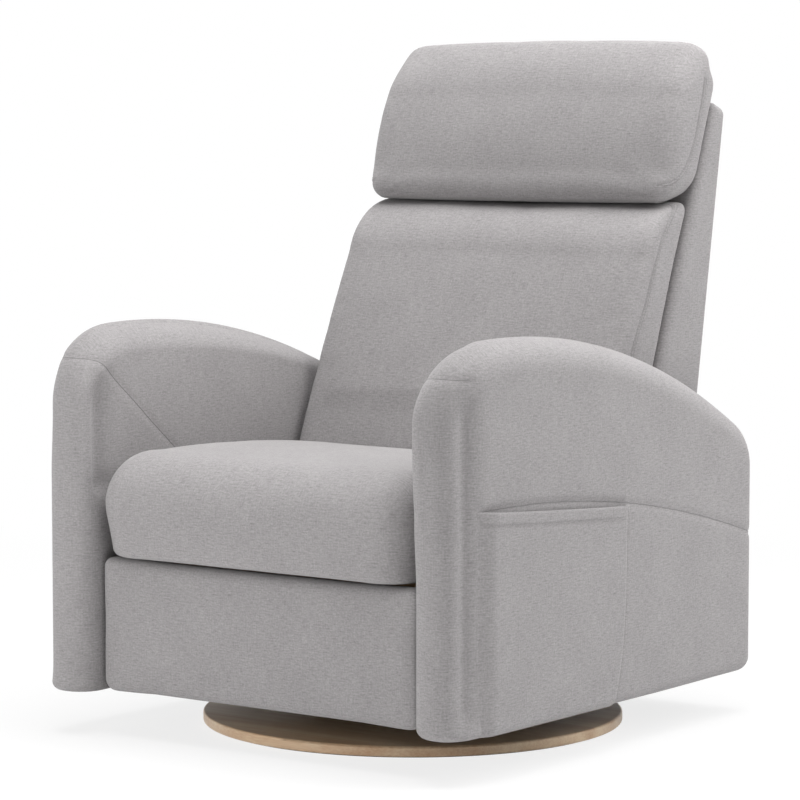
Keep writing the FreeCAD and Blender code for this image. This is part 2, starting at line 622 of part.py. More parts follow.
# Steel side plates of the mechanism
for label, side in SIDES:
    low, high = span(side, "plate_inner", "plate_outer")
    ear = "link_width * 0.68"
    node(slab("mechanism_plate_" + label, "YZ_Plane", low, "mechanism_plate_thickness",
              [("-mechanism_plate_front", "mechanism_plate_bottom"),
               ("mechanism_plate_rear", "mechanism_plate_bottom"),
               ("mechanism_plate_rear", "back_pivot_height + " + ear),
               ("back_pivot_rear - " + ear, "back_pivot_height + " + ear),
               ("back_pivot_rear - " + ear, "mechanism_plate_top"),
               ("-mechanism_plate_front", "mechanism_plate_top")],
              [("-footrest_pivot_front", "footrest_pivot_height", "bore_radius"),
               ("back_pivot_rear", "back_pivot_height", "bore_radius")]), "mechanism_plate_" + label)


def turned(length, angle):
    """Forward and upward parts of a length at an angle over the forward direction."""
    return length * math.cos(math.radians(angle)), length * math.sin(math.radians(angle))


def pins(name, near, far, forward, height, radius="pin_diameter / 2"):
    pair = []
    for label, side in SIDES:
        low, high = span(side, near, far)
        pair.append(rod_x(name + "_" + label, radius, low, high, repr(-forward), repr(height)))
    return group(name + "_group", pair)


hip = (number("footrest_pivot_front"), number("footrest_pivot_height"))
reach = turned(number("lower_link_length"), number("lower_link_angle"))
knee = (hip[0] + reach[0], hip[1] + reach[1])
reach = turned(number("upper_link_length"), number("upper_link_angle"))
ankle = (knee[0] + reach[0], knee[1] + reach[1])
reach = turned(number("crank_length"), number("crank_angle"))
crank = (hip[0] + reach[0], hip[1] + reach[1])
pivot = (-number("back_pivot_rear"), number("back_pivot_height"))
reach = turned(number("lever_length"), -90 - number("lever_angle"))
lever = (pivot[0] + reach[0], pivot[1] + reach[1])
lean = number("back_lean")

node(pins("footrest_pivot_pin", "link_inner", "plate_outer", *hip), "footrest_pivot_pins")
node(pins("back_pivot_pin", "link_inner", "plate_outer", *pivot), "back_pivot_pins")
node(pins("knee_pin", "second_inner", "link_outer", *knee), "knee_pins")
node(pins("ankle_pin", "third_inner", "second_outer", *ankle), "ankle_pins")


# Links: flat bars with round ends, laid along their own Z axis and then turned
def bar(name, side, near, far, start, angle, length, bores, width="link_width"):
    low, high = span(side, near, far)
    half = "(%s) / 2" % width
    parts = [box(name + "_web", low, high, "-" + half, half, 0, length)]
    for tag, z in (("start", "0"), ("end", length)):
        parts.append(rod_x(name + "_" + tag, half, low, high, 0, z))
    solid = join(name + "_blank", parts)
    for i, (z, radius) in enumerate(bores):
        low_cut, high_cut = low + " - 1", high + " + 1"
        drill = rod_x(name + "_bore_%d" % i, radius, low_cut, high_cut, 0, z)
        solid = cut(name + "_bored_%d" % i, solid, drill)
    # Turning about X by a positive angle takes +Z toward -Y, which is forward.
    solid.Placement = Placement(Vector(0, -start[0], start[1]), Rotation(Vector(1, 0, 0), 90 - angle))
    return solid


for label, side in SIDES:
    main = bar("lower_main_" + label, side, "link_inner", "link_outer", hip, number("lower_link_angle"),
               "lower_link_length", [("0", "bore_radius"), ("lower_link_length", "bore_radius")])
    arm_of = bar("lower_crank_" + label, side, "link_inner", "link_outer", hip, number("crank_angle"),
                 "crank_length", [("0", "bore_radius")], "link_width * 0.8")
    low, high = span(side, "second_inner", "link_outer")
    stud = rod_x("crank_stud_" + label, "stud_diameter / 2", low, high, repr(-crank[0]), repr(crank[1]))
    whole = join("lower_whole_" + label, [main, arm_of, stud])
    low, high = span(side, "link_inner - 1", "link_outer + 1")
    clear = rod_x("lower_clear_" + label, "bore_radius", low, high, repr(-hip[0]), repr(hip[1]))
    node(cut("lower_link_" + label, whole, clear), "lower_link_" + label)

    node(bar("upper_link_" + label, side, "second_inner", "second_outer", knee, number("upper_link_angle"),
             "upper_link_length", [("0", "bore_radius"), ("upper_link_length", "bore_radius")]),
         "upper_link_" + label)

    low, high = span(side, "third_inner", "third_outer")
    tongue = bar("bracket_tongue_" + label, side, "third_inner", "third_outer", ankle, -90,
                 "footrest_bracket_width * 3", [("0", "bore_radius")])
    flange_low, flange_high = span(side, "third_inner - footrest_bracket_width", "third_outer")
    flange = box("bracket_flange_" + label, flange_low, flange_high, "-(footrest_board_rear - gap / 2)",
                 "-(footrest_board_rear - 4)", repr(ankle[1] - 90), repr(ankle[1] + 6))
    web = box("bracket_web_" + label, low, high, "-(footrest_board_rear - 2)", repr(-ankle[0]),
              repr(ankle[1] - 90), repr(ankle[1] - 12))
    node(join("footrest_bracket_" + label, [tongue, flange, web]), "footrest_bracket_" + label)

    strap = bar("back_strap_" + label, side, "link_inner", "link_outer", pivot, 90 + lean,
                "back_strap_length", [("0", "bore_radius")])
    arm_of = bar("back_lever_" + label, side, "link_inner", "link_outer", pivot,
                 -90 - number("lever_angle"), "lever_length", [("0", "bore_radius")])
    low, high = span(side, "second_inner", "link_outer")
    stud = rod_x("lever_stud_" + label, "stud_diameter / 2", low, high, repr(-lever[0]), repr(lever[1]))
    whole = join("bracket_whole_" + label, [strap, arm_of, stud])
    low, high = span(side, "link_inner - 1", "link_outer + 1")
    clear = rod_x("bracket_clear_" + label, "bore_radius", low, high, repr(-pivot[0]), repr(pivot[1]))
    node(cut("back_bracket_" + label, whole, clear), "back_bracket_" + label)

torsion = (0.65 * hip[0] + 0.35 * knee[0], 0.65 * hip[1] + 0.35 * knee[1])
node(rod_x("torsion_rod", "torsion_rod_diameter / 2", "-(link_inner - gap / 3)", "link_inner - gap / 3",
           repr(-torsion[0]), repr(torsion[1])), "torsion_rod")

# Drive rods, open at the crank end by an upright slot
rod_run = math.hypot(crank[0] - lever[0], crank[1] - lever[1])
rod_angle = math.degrees(math.atan2(crank[1] - lever[1], crank[0] - lever[0]))
for label, side in SIDES:
    straight = bar("drive_bar_" + label, side, "second_inner", "second_outer", lever, rod_angle,
                   repr(rod_run - 12), [("0", "stud_bore_radius")], "link_width * 0.7")
    low, high = span(side, "second_inner", "second_outer")
    eye = box("drive_eye_" + label, low, high, repr(-crank[0] - 12), repr(-crank[0] + 14),
              repr(crank[1] - 22), repr(crank[1] + 11))
    whole = join("drive_whole_" + label, [straight, eye])
    cut_low, cut_high = low + " - 1", high + " + 1"
    slot = join("drive_slot_" + label, [
        box("slot_web_" + label, cut_low, cut_high, repr(-crank[0] - 6), repr(-crank[0] + 6),
            repr(crank[1] - 10), repr(crank[1])),
        rod_x("slot_low_" + label, "6", cut_low, cut_high, repr(-crank[0]), repr(crank[1] - 10)),
        rod_x("slot_high_" + label, "6", cut_low, cut_high, repr(-crank[0]), repr(crank[1]))])
    node(cut("drive_rod_" + label, whole, slot), "drive_rod_" + label)

# Footrest panel
node(box("footrest_board", "-(footrest_half - 8)", "footrest_half - 8", "-footrest_board_front",
         "-footrest_board_rear", "footrest_bottom + 6", "footrest_top - 6"), "footrest_board")
rest = new_body("footrest_pad")
rest_sketch = sketch_on(rest, "XZ_Plane", "rest_sketch", "footrest_board_front")
rectangle(rest_sketch, "-footrest_half", "footrest_half", "footrest_bottom", "footrest_top")
rest_pad = pad(rest, rest_sketch, "footrest_pad_thickness", "rest_pad")
rest_front = -number("footrest_front")


def on_rest_front(edge):
    return max(v.Point.y for v in edge.Vertexes) < rest_front + 1e-6


def across_rest(edge):
    return edge.BoundBox.YLength > 1 and edge.BoundBox.XLength < 1e-6


rest_sides = round_edges(rest, rest_pad, across_rest, "footrest_round", "rest_corners")
round_edges(rest, rest_sides, on_rest_front, "footrest_round * 0.9", "rest_round")
node(rest, "footrest_pad")

# Back frame, shell and cushions
back_turn = Placement(Vector(0, number("back_foot_rear"), number("back_foot_height")),
                      Rotation(Vector(1, 0, 0), -lean))
STILE_TOP = "back_length - back_wall - gap"
for label, side in SIDES:
    low, high = span(side, "link_inner - gap - stile_width", "link_inner - gap")
    node(box("back_stile_" + label, low, high, "gap", "gap + stile_depth", "stile_lift", STILE_TOP,
             back_turn), "back_stile_" + label)
RAIL_HALF = "link_inner - gap - stile_width - gap"
for label, low, high in (("back_bottom_rail", "stile_lift", "stile_lift + back_rail_height"),
                         ("back_top_rail", STILE_TOP + " - back_rail_height", STILE_TOP)):
    node(box(label, "-(%s)" % RAIL_HALF, RAIL_HALF, "gap", "gap + stile_depth", low, high, back_turn), label)

shell = new_body("back_shell")
shell_sketch = sketch_on(shell, "YZ_Plane", "shell_sketch", "-back_half")
outline(shell_sketch, [("0", "0"), ("back_bottom_depth", "back_bottom_rise"),
                       ("back_top_depth", "back_length"), ("0", "back_length")])
shell_pad = pad(shell, shell_sketch, "2 * back_half", "shell_pad")
back_half = number("back_half")


def on_shell_back(edge):
    far = min(v.Point.y for v in edge.Vertexes) > 1
    flat = edge.BoundBox.XLength < 1e-6
    return far or (flat and min(v.Point.z for v in edge.Vertexes) > number("back_length") - 1)


shell_round = round_edges(shell, shell_pad, on_shell_back, "back_edge_round", "shell_round")
hollow = sketch_on(shell, "YZ_Plane", "hollow_sketch", "-(back_half - back_wall)")
outline(hollow, [("-5", "-20"), ("back_bottom_depth - back_wall", "-20"),
                 ("back_bottom_depth - back_wall", "back_bottom_rise"),
                 ("back_top_depth - back_wall + 2", "back_length - back_wall"),
                 ("-5", "back_length - back_wall")])
pocket(shell, hollow, "2 * (back_half - back_wall)", "shell_hollow")
shell.Placement = back_turn
node(shell, "back_shell")


# Curved skirt below the shell, round the back pivot
def sector(name, radius, trim=0):
    """A slice of a cylinder round the back pivot that starts level and goes down behind it."""
    slice_of = doc.addObject("Part::Cylinder", name)
    bind(slice_of, Radius=radius, Height="2 * (skirt_half + %s)" % trim,
         Angle="skirt_angle + 2 * %s" % trim)
    spot = Vector(-number("skirt_half") - trim, number("back_pivot_rear"), number("back_pivot_height"))
    upright = Rotation(Vector(0, 1, 0), 90).multiply(Rotation(Vector(0, 0, 1), 90))
    turn = Rotation(Vector(1, 0, 0), number("skirt_rise") - number("skirt_angle") - trim)
    slice_of.Placement = Placement(spot, turn.multiply(upright))
    return slice_of


node(cut("back_skirt", sector("skirt_outer", "skirt_radius"),
         sector("skirt_inner", "skirt_radius - skirt_thickness", 5)), "back_skirt")

# Cushions: lofts through side views that shrink toward the ends
def section(x, start, path, anchor, scale):
    """A closed side view at one X, shrunk across and along toward an anchor on its flat side."""
    def spot(place):
        return Vector(x, anchor[0] + (place[0] - anchor[0]) * scale[0],
                      anchor[1] + (place[1] - anchor[1]) * scale[1])
    edges = []
    here = spot(start)
    for step in path + [(start,)]:
        there = spot(step[-1])
        if len(step) == 1:
            edges.append(Part.LineSegment(here, there).toShape())
        else:
            edges.append(Part.Arc(here, spot(step[0]), there).toShape())
        here = there
    return Part.Wire(edges)


def cushion(name, half, start, path, anchor, reach, crown, end_round):
    """Side views that follow a low crown across and a round at each end.

    reach is how far the side view goes from the anchor in its two directions.
    """
    stations = [(share * (half - end_round), 0) for share in (0, 0.3, 0.55, 0.8)]
    for angle in (0, 28, 50, 68, 82):
        turn = math.radians(angle)
        stations.append((half - end_round * (1 - math.sin(turn)), end_round * (1 - math.cos(turn))))
    wires = []
    for x, inset in [(-x, inset) for x, inset in reversed(stations[1:])] + stations:
        sink = crown * (x / half) ** 2
        scale = (1 - (inset + sink) / reach[0], 1 - (inset + sink) / reach[1])
        wires.append(section(x, start, path, anchor, scale))
    feature = doc.addObject("Part::Feature", name)
    feature.Shape = Part.makeLoft(wires, True, True)
    return feature


seat_low, seat_front, seat_rear = number("seat_bottom"), -number("seat_front"), number("seat_rear")
seat_high, nose = number("seat_crown"), number("seat_nose_height")
heel = seat_rear - 58
toe = seat_front + 72
seat_path = [
    ((toe, seat_low),),
    ((seat_front + 21, seat_low + 0.27 * (nose - seat_low)), (seat_front, nose)),
    ((seat_front + 24, seat_high - 20), (seat_front + 94, seat_high)),
    (((seat_front + 94 + seat_rear) / 2, seat_high - 3), (seat_rear, number("seat_rear_height"))),
]
node(cushion("seat_cushion", number("seat_half"), (heel, seat_low), seat_path, ((heel + toe) / 2, seat_low),
             ((seat_rear - seat_front) / 2, seat_high - seat_low), number("cushion_crown"),
             number("seat_end_round")), "seat_cushion")

# The back's two cushions lie on the shell and are drawn in its own frame, then lean with it
rest = -number("cushion_rest_gap")
thick, top = number("back_cushion_thickness"), number("back_cushion_top")
low_rear, low_front = -10.9, -33.2
back_path = [
    ((-0.565 * thick, low_front),),
    ((-0.86 * thick, low_front + 2.2), (-thick, low_front + 30.8)),
    ((-0.975 * thick, 0.373 * top), (-0.832 * thick, top - 121)),
    ((-0.714 * thick, top - 63.4), (-0.373 * thick, top - 22)),
    ((rest, top),),
]
back_cushion = cushion("back_cushion", number("back_cushion_half"), (rest, low_rear), back_path,
                       (rest, (low_rear + top) / 2), (1.1 * thick, 0.965 * (top - low_rear)),
                       number("cushion_crown"), number("back_end_round"))
back_cushion.Placement = back_turn
node(back_cushion, "back_cushion")

thick, low, top = number("headrest_thickness"), number("headrest_bottom"), number("headrest_top")
head_path = [
    ((-0.476 * thick, low - 15.8),),
    ((-0.768 * thick, low - 10.5), (-0.917 * thick, low + 12.3)),
    ((-thick, low + 0.305 * (top - low)), (-0.99 * thick, top - 102)),
    ((-0.907 * thick, top - 47.9), (-0.625 * thick, top)),
    ((-0.248 * thick, top - 7.8), (rest, top - 40.2)),
]
headrest = cushion("headrest", number("headrest_half"), (rest, low), head_path,
                   (rest, (low + top - 40.2) / 2), (1.32 * thick, 1.12 * (top - low)),
                   number("cushion_crown"), number("back_end_round"))
headrest.Placement = back_turn
node(headrest, "headrest")

# Check every object, then write one file for each piece
doc.recompute()
for thing in doc.Objects:
    if "Invalid" in thing.State or "Error" in thing.State:
        raise RuntimeError(thing.Label + " is in state " + str(thing.State))
for piece in nodes:
    if piece.Shape.isNull() or not piece.Shape.isValid():
        raise RuntimeError(piece.Label + " has no valid shape")
os.makedirs("parts", exist_ok=True)
for piece in nodes:
    piece.Shape.exportStep("parts/%s.step" % piece.Label)
    box_of = piece.Shape.BoundBox
    print("%-24s solids %d  x %.1f %.1f  y %.1f %.1f  z %.1f %.1f" % (
        piece.Label, len(piece.Shape.Solids), box_of.XMin, box_of.XMax, box_of.YMin, box_of.YMax,
        box_of.ZMin, box_of.ZMax))
print(len(nodes), "pieces")
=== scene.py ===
import json
import math
import bpy
import numpy as np
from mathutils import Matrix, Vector
from mathutils.bvhtree import BVHTree


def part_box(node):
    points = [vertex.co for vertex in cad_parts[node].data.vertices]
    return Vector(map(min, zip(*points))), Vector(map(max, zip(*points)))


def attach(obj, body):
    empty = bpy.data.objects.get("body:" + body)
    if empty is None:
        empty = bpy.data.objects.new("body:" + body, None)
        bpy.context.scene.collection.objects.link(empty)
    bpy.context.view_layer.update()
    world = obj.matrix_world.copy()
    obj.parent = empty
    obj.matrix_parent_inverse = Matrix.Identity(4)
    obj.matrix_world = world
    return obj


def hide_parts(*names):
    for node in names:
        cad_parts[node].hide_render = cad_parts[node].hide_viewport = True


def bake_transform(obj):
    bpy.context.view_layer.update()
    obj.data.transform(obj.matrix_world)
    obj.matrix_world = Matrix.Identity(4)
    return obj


# Swivel rocker recliner: cloth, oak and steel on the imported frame. Metres, front toward -Y.

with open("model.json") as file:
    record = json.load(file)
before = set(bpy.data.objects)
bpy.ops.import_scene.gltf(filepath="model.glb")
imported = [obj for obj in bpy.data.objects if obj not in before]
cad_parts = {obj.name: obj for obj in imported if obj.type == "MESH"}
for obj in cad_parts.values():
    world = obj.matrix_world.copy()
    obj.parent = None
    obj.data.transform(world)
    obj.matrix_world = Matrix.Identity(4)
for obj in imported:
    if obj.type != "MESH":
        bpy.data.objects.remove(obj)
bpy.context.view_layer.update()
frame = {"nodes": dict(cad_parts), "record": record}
NODES = frame["nodes"]
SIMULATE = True
scene = bpy.context.scene


# Node helpers
def put(tree, socket, value):
    """Link a socket to an input, or set the input's value."""
    if isinstance(value, bpy.types.NodeSocket):
        tree.links.new(value, socket)
    else:
        socket.default_value = value


def place(tree, kind, sockets=None, **settings):
    """Add a node; an input given a socket is linked, and one given a value is set."""
    node = tree.nodes.new(kind)
    for name, value in settings.items():
        setattr(node, name, value)
    for key, value in (sockets or {}).items():
        put(tree, node.inputs[key], value)
    return node


def calc(tree, operation, *values):
    """One step of arithmetic on numbers and sockets."""
    return place(tree, "ShaderNodeMath", dict(enumerate(values)), operation=operation).outputs[0]


def stretch(tree, vector, x, y, z):
    """A place multiplied along its three directions."""
    return place(tree, "ShaderNodeVectorMath", {0: vector, 1: (x, y, z)}, operation="MULTIPLY").outputs[0]


def resize(tree, vector, factor):
    """A place multiplied by one factor."""
    return place(tree, "ShaderNodeVectorMath", {0: vector, "Scale": factor}, operation="SCALE").outputs[0]


def noise(tree, vector, scale, detail, rough):
    """A noise value from 0 to 1."""
    sockets = {"Vector": vector, "Scale": scale, "Detail": detail, "Roughness": rough}
    return place(tree, "ShaderNodeTexNoise", sockets).outputs["Fac"]


def mix(tree, factor, first, second):
    """A colour between two others."""
    node = place(tree, "ShaderNodeMix", data_type="RGBA")
    wanted = {"Factor_Float": factor, "A_Color": first, "B_Color": second}
    for socket in node.inputs:
        if socket.identifier in wanted:
            put(tree, socket, wanted[socket.identifier])
    return [s for s in node.outputs if s.identifier == "Result_Color"][0]


def spread(tree, value, low, high, to_low, to_high):
    """A value moved from one range to another and held inside it."""
    sockets = {"Value": value, "From Min": low, "From Max": high, "To Min": to_low, "To Max": to_high}
    return place(tree, "ShaderNodeMapRange", sockets, clamp=True).outputs[0]


def new_tree(name, kind, inputs, numbers, outputs):
    """An empty node group with inputs and outputs of named kinds, and numbers with their usual values."""
    tree = bpy.data.node_groups.new(name, kind)
    for label, form in inputs.items():
        tree.interface.new_socket(label, in_out="INPUT", socket_type="NodeSocket" + form)
    for label, value in numbers.items():
        socket = tree.interface.new_socket(label.title(), in_out="INPUT", socket_type="NodeSocketFloat")
        socket.default_value = value
    for label, form in outputs.items():
        tree.interface.new_socket(label, in_out="OUTPUT", socket_type="NodeSocket" + form)
    return tree, tree.nodes.new("NodeGroupInput").outputs, tree.nodes.new("NodeGroupOutput").inputs


def new_pattern(name, **numbers):
    """A shader group that takes a place, two tones and its own numbers."""
    inputs = {"Place": "Vector", "Dark": "Color", "Light": "Color"}
    outputs = {"Colour": "Color", "Height": "Float", "Rough": "Float"}
    return new_tree(name, "ShaderNodeTree", inputs, numbers, outputs)


def close_pattern(tree, given, out, tone, height, rough):
    """Give a pattern's results: a colour between its two tones, a height and a roughness."""
    tree.links.new(mix(tree, tone, given["Dark"], given["Light"]), out["Colour"])
    tree.links.new(height, out["Height"])
    tree.links.new(rough, out["Rough"])
    return tree


# Effects that several finishes share
def make_weave():
    """Plain weave with uneven threads, laid out on a flat place in metres."""
    tree, given, out = new_pattern("plain_weave", threads=1000.0, slub=1.0)
    thread = resize(tree, given["Place"], given["Threads"])
    apart = place(tree, "ShaderNodeSeparateXYZ", {0: thread})
    across = calc(tree, "SINE", calc(tree, "MULTIPLY", apart.outputs["X"], math.pi))
    along = calc(tree, "SINE", calc(tree, "MULTIPLY", apart.outputs["Y"], math.pi))
    over = calc(tree, "MULTIPLY", across, along)
    slub = noise(tree, stretch(tree, thread, 0.075, 0.50, 1), 1.0, 3.0, 0.65)
    warp = noise(tree, stretch(tree, thread, 0.5, 0.05, 1), 1.0, 2.0, 0.5)
    fleck = noise(tree, thread, 0.33, 2.0, 0.6)
    cloud = noise(tree, given["Place"], 14.0, 2.0, 0.5)
    shade = 0.5
    for part, strength in ((slub, given["Slub"]), (warp, 0.35), (fleck, 0.8), (cloud, 0.22)):
        shade = calc(tree, "MULTIPLY_ADD", calc(tree, "SUBTRACT", part, 0.5), strength, shade)
    shade = calc(tree, "MULTIPLY_ADD", over, 0.10, shade)
    shade = calc(tree, "ADD", shade, spread(tree, slub, 0.30, 0.45, -0.10, 0.01))
    raised = calc(tree, "MULTIPLY_ADD", calc(tree, "ABSOLUTE", over), 0.5, calc(tree, "MULTIPLY", slub, 0.8))
    return close_pattern(tree, given, out, shade, raised, spread(tree, raised, 0.1, 0.9, 0.95, 0.82))


def make_wood():
    """Straight grain that runs along the first direction of a place."""
    tree, given, out = new_pattern("straight_grain", fine=1.0)
    fine = resize(tree, given["Place"], given["Fine"])
    band = noise(tree, stretch(tree, fine, 1.2, 26, 26), 1.0, 3.0, 0.55)
    pore = noise(tree, stretch(tree, fine, 9, 420, 420), 1.0, 2.0, 0.6)
    tint = calc(tree, "MULTIPLY_ADD", calc(tree, "SUBTRACT", pore, 0.5), 0.55, band)
    tint = spread(tree, tint, 0.25, 0.75, 0.0, 1.0)
    return close_pattern(tree, given, out, tint, pore, spread(tree, pore, 0.3, 0.7, 0.5, 0.36))


def make_speckle():
    """Fine uneven grain for coats, plating, rubber and felt."""
    tree, given, out = new_pattern("fine_speckle", fine=900.0, smooth=0.4, dull=0.6)
    small = noise(tree, given["Place"], given["Fine"], 2.0, 0.6)
    broad = noise(tree, given["Place"], 22.0, 3.0, 0.55)
    both = calc(tree, "ADD", calc(tree, "MULTIPLY", small, 0.55), calc(tree, "MULTIPLY", broad, 0.45))
    both = spread(tree, both, 0.32, 0.68, 0.0, 1.0)
    rough = spread(tree, broad, 0.3, 0.7, given["Smooth"], given["Dull"])
    return close_pattern(tree, given, out, both, small, rough)


WEAVE = make_weave()
WOOD = make_wood()
SPECKLE = make_speckle()


def linear(tone):
    """A tone read from 0 to 255 on a screen, as a shader takes it."""
    return tuple(((c / 255 + 0.055) / 1.055) ** 2.4 if c > 10 else c / 3295 for c in tone) + (1.0,)


def finish_of(name, effect, dark, light, bump, depth, numbers, **shader):
    """A material whose colour, roughness and relief come from one of the shared effects."""
    material = bpy.data.materials.new(name)
    material.use_nodes = True
    tree = material.node_tree
    surface = tree.nodes["Principled BSDF"]
    for key, value in shader.items():
        surface.inputs[key.replace("_", " ").title()].default_value = value
    if effect == WEAVE:
        spot = place(tree, "ShaderNodeUVMap", uv_map="cloth").outputs["UV"]
    else:
        spot = place(tree, "ShaderNodeTexCoord").outputs["Object"]
    given = {"Place": spot, "Dark": linear(dark), "Light": linear(light)}
    pattern = place(tree, "ShaderNodeGroup", {**given, **numbers}, node_tree=effect).outputs
    relief = {"Strength": bump, "Distance": depth, "Height": pattern["Height"]}
    tree.links.new(pattern["Colour"], surface.inputs["Base Color"])
    tree.links.new(pattern["Rough"], surface.inputs["Roughness"])
    tree.links.new(place(tree, "ShaderNodeBump", relief).outputs[0], surface.inputs["Normal"])
    return material


heather = finish_of("heather_cloth", WEAVE, (114, 111, 112), (171, 168, 168), bump=0.35, depth=0.0006,
                    numbers={"Threads": 1100.0, "Slub": 0.8}, sheen_weight=0.12, sheen_roughness=0.5)
# Darker cloth for the cords laid along the seams: painted shade of the seam crevices, not a colour of the
# cloth itself.
seam_shade_cloth = finish_of("seam_shade_cloth", WEAVE, (112, 110, 111), (138, 136, 137), bump=0.3, depth=0.0004,
                      numbers={"Threads": 1400.0, "Slub": 0.5})
thread = finish_of("grey_thread", SPECKLE, (122, 120, 121), (150, 148, 148), bump=0.4, depth=0.0002,
                   numbers={"Fine": 2600.0, "Smooth": 0.55, "Dull": 0.7})
lining = finish_of("dust_cloth", WEAVE, (18, 18, 19), (44, 44, 46), bump=0.4, depth=0.0005,
                   numbers={"Threads": 700.0, "Slub": 1.4})
oak = finish_of("lacquered_oak", WOOD, (214, 174, 136), (245, 221, 188), bump=0.25, depth=0.0004,
                numbers={"Fine": 1.0}, coat_weight=0.15, coat_roughness=0.3)
board = finish_of("raw_plywood", WOOD, (172, 138, 98), (212, 184, 146), bump=0.3, depth=0.0005,
                  numbers={"Fine": 0.8})
black_coat = finish_of("black_powder_coat", SPECKLE, (22, 22, 23), (44, 44, 46), bump=0.25, depth=0.0003,
                       numbers={"Fine": 1500.0, "Smooth": 0.38, "Dull": 0.55})
zinc = finish_of("zinc_plate", SPECKLE, (160, 162, 166), (206, 206, 206), bump=0.1, depth=0.0002,
                 numbers={"Fine": 500.0, "Smooth": 0.24, "Dull": 0.42}, metallic=1.0)
nylon = finish_of("white_nylon", SPECKLE, (214, 212, 204), (232, 230, 224), bump=0.15, depth=0.0002,
                  numbers={"Fine": 700.0, "Smooth": 0.4, "Dull": 0.55})
rubber = finish_of("black_rubber", SPECKLE, (20, 20, 20), (40, 40, 40), bump=0.3, depth=0.0003,
                   numbers={"Fine": 900.0, "Smooth": 0.65, "Dull": 0.85})
felt = finish_of("black_felt", SPECKLE, (24, 22, 20), (66, 60, 54), bump=0.7, depth=0.0008,
                 numbers={"Fine": 2200.0, "Smooth": 0.9, "Dull": 1.0})

FINISHES = {"fabric": heather, "oak": oak, "plywood": board, "felt": felt, "dust_cloth": lining,
            "steel": black_coat, "bright_steel": zinc, "nylon": nylon, "rubber": rubber}
for row in frame["record"]["subparts"]:
    for slot in NODES[row["node"]].material_slots:
        slot.material = FINISHES[row["material_slot"]]


# Mesh helpers
def new_piece(name, points, faces=(), edges=()):
    mesh = bpy.data.meshes.new(name)
    mesh.from_pydata([tuple(map(float, p)) for p in points], list(edges), list(faces))
    mesh.update()
    piece = bpy.data.objects.new(name, mesh)
    scene.collection.objects.link(piece)
    return piece


def vertex_rows(vertices, what):
    """A row of three numbers for each vertex: its place or its normal."""
    flat = np.empty(len(vertices) * 3, np.float32)
    vertices.foreach_get(what, flat)
    return flat.reshape(-1, 3).astype(float)


def points_of(piece):
    return vertex_rows(piece.data.vertices, "co")


def normals_of(piece):
    return vertex_rows(piece.data.vertices, "normal")


def move_to(piece, points):
    piece.data.vertices.foreach_set("co", np.ascontiguousarray(points, np.float32).ravel())
    piece.data.update()


def settle(piece):
    """Make the result of the modifiers the piece's own mesh."""
    graph = bpy.context.evaluated_depsgraph_get()
    mesh = bpy.data.meshes.new_from_object(piece.evaluated_get(graph), depsgraph=graph)
    old = piece.data
    piece.modifiers.clear()
    piece.data = mesh
    bpy.data.meshes.remove(old)
    return piece


def remesh(piece, voxel):
    """Even out a closed piece into small square faces."""
    even = piece.modifiers.new("even", "REMESH")
    even.mode = "VOXEL"
    even.voxel_size = voxel
    settle(piece)


def divide(piece):
    finer = piece.modifiers.new("finer", "SUBSURF")
    finer.levels = finer.render_levels = 1
    settle(piece)


def relax(piece, points, rounds, share=0.5):
    """Move each point toward the middle of its neighbours."""
    pairs = np.empty(len(piece.data.edges) * 2, np.int32)
    piece.data.edges.foreach_get("vertices", pairs)
    a, b = pairs.reshape(-1, 2).T
    count = len(points)
    degree = np.maximum(np.bincount(a, minlength=count) + np.bincount(b, minlength=count), 1)
    for _ in range(rounds):
        sums = [np.bincount(a, points[b, k], count) + np.bincount(b, points[a, k], count) for k in range(3)]
        middle = np.stack(sums, axis=1) / degree[:, None]
        points = points + share * (middle - points)
    return points


# How hard and how long a padded cover is blown up, and how far a point may move
PRESSURE, BLOW_FRAMES, LONGEST_MOVE = 4.0, 20, 0.022


def puff(piece, keep):
    """Blow a closed cover up with cloth, hold each point near where it was and keep a share of the move."""
    if not SIMULATE:
        return
    start = points_of(piece)
    cover = piece.modifiers.new("cover", "CLOTH")
    cloth = cover.settings
    cloth.quality = 4
    cloth.mass = 0.3
    cloth.tension_stiffness = cloth.compression_stiffness = 18
    cloth.shear_stiffness = 9
    cloth.bending_stiffness = 1.5
    cloth.use_pressure = True
    cloth.uniform_pressure_force = PRESSURE
    cloth.effector_weights.gravity = 0
    cover.point_cache.frame_start = 1
    cover.point_cache.frame_end = BLOW_FRAMES
    for number in range(1, BLOW_FRAMES + 1):
        scene.frame_set(number)
    blown = piece.evaluated_get(bpy.context.evaluated_depsgraph_get())
    move = vertex_rows(blown.to_mesh().vertices, "co") - start
    blown.to_mesh_clear()
    piece.modifiers.clear()
    scene.frame_set(1)
    move -= move.mean(axis=0)
    far = np.linalg.norm(move, axis=1, keepdims=True)
    move *= np.minimum(1, LONGEST_MOVE / np.maximum(far, 1e-9))
    move_to(piece, start + keep * move)


def grid_faces(columns, rows):
    """Square faces of a grid of points, row by row."""
    corners = [r * columns + c for r in range(rows - 1) for c in range(columns - 1)]
    return [(a, a + columns, a + columns + 1, a + 1) for a in corners]


def two_layers(name, outer, inner, faces):
    """A closed piece from matching outer and inner points, joined along their open edges."""
    sides = {pair for face in faces for pair in zip(face, face[1:] + face[:1])}
    count = len(outer)
    closed = faces + [tuple(count + v for v in reversed(face)) for face in faces]
    closed += [(b, a, count + a, count + b) for a, b in sides if (b, a) not in sides]
    return new_piece(name, np.concatenate([outer, inner]), closed)


def thicken(piece, depth):
    """Close an open piece with an inner face at a depth below each of its points."""
    name, outer = piece.name, points_of(piece)
    inner = outer - normals_of(piece) * np.reshape(depth, (-1, 1))
    faces = [tuple(p.vertices) for p in piece.data.polygons]
    bpy.data.objects.remove(piece)
    return two_layers(name, outer, inner, faces)


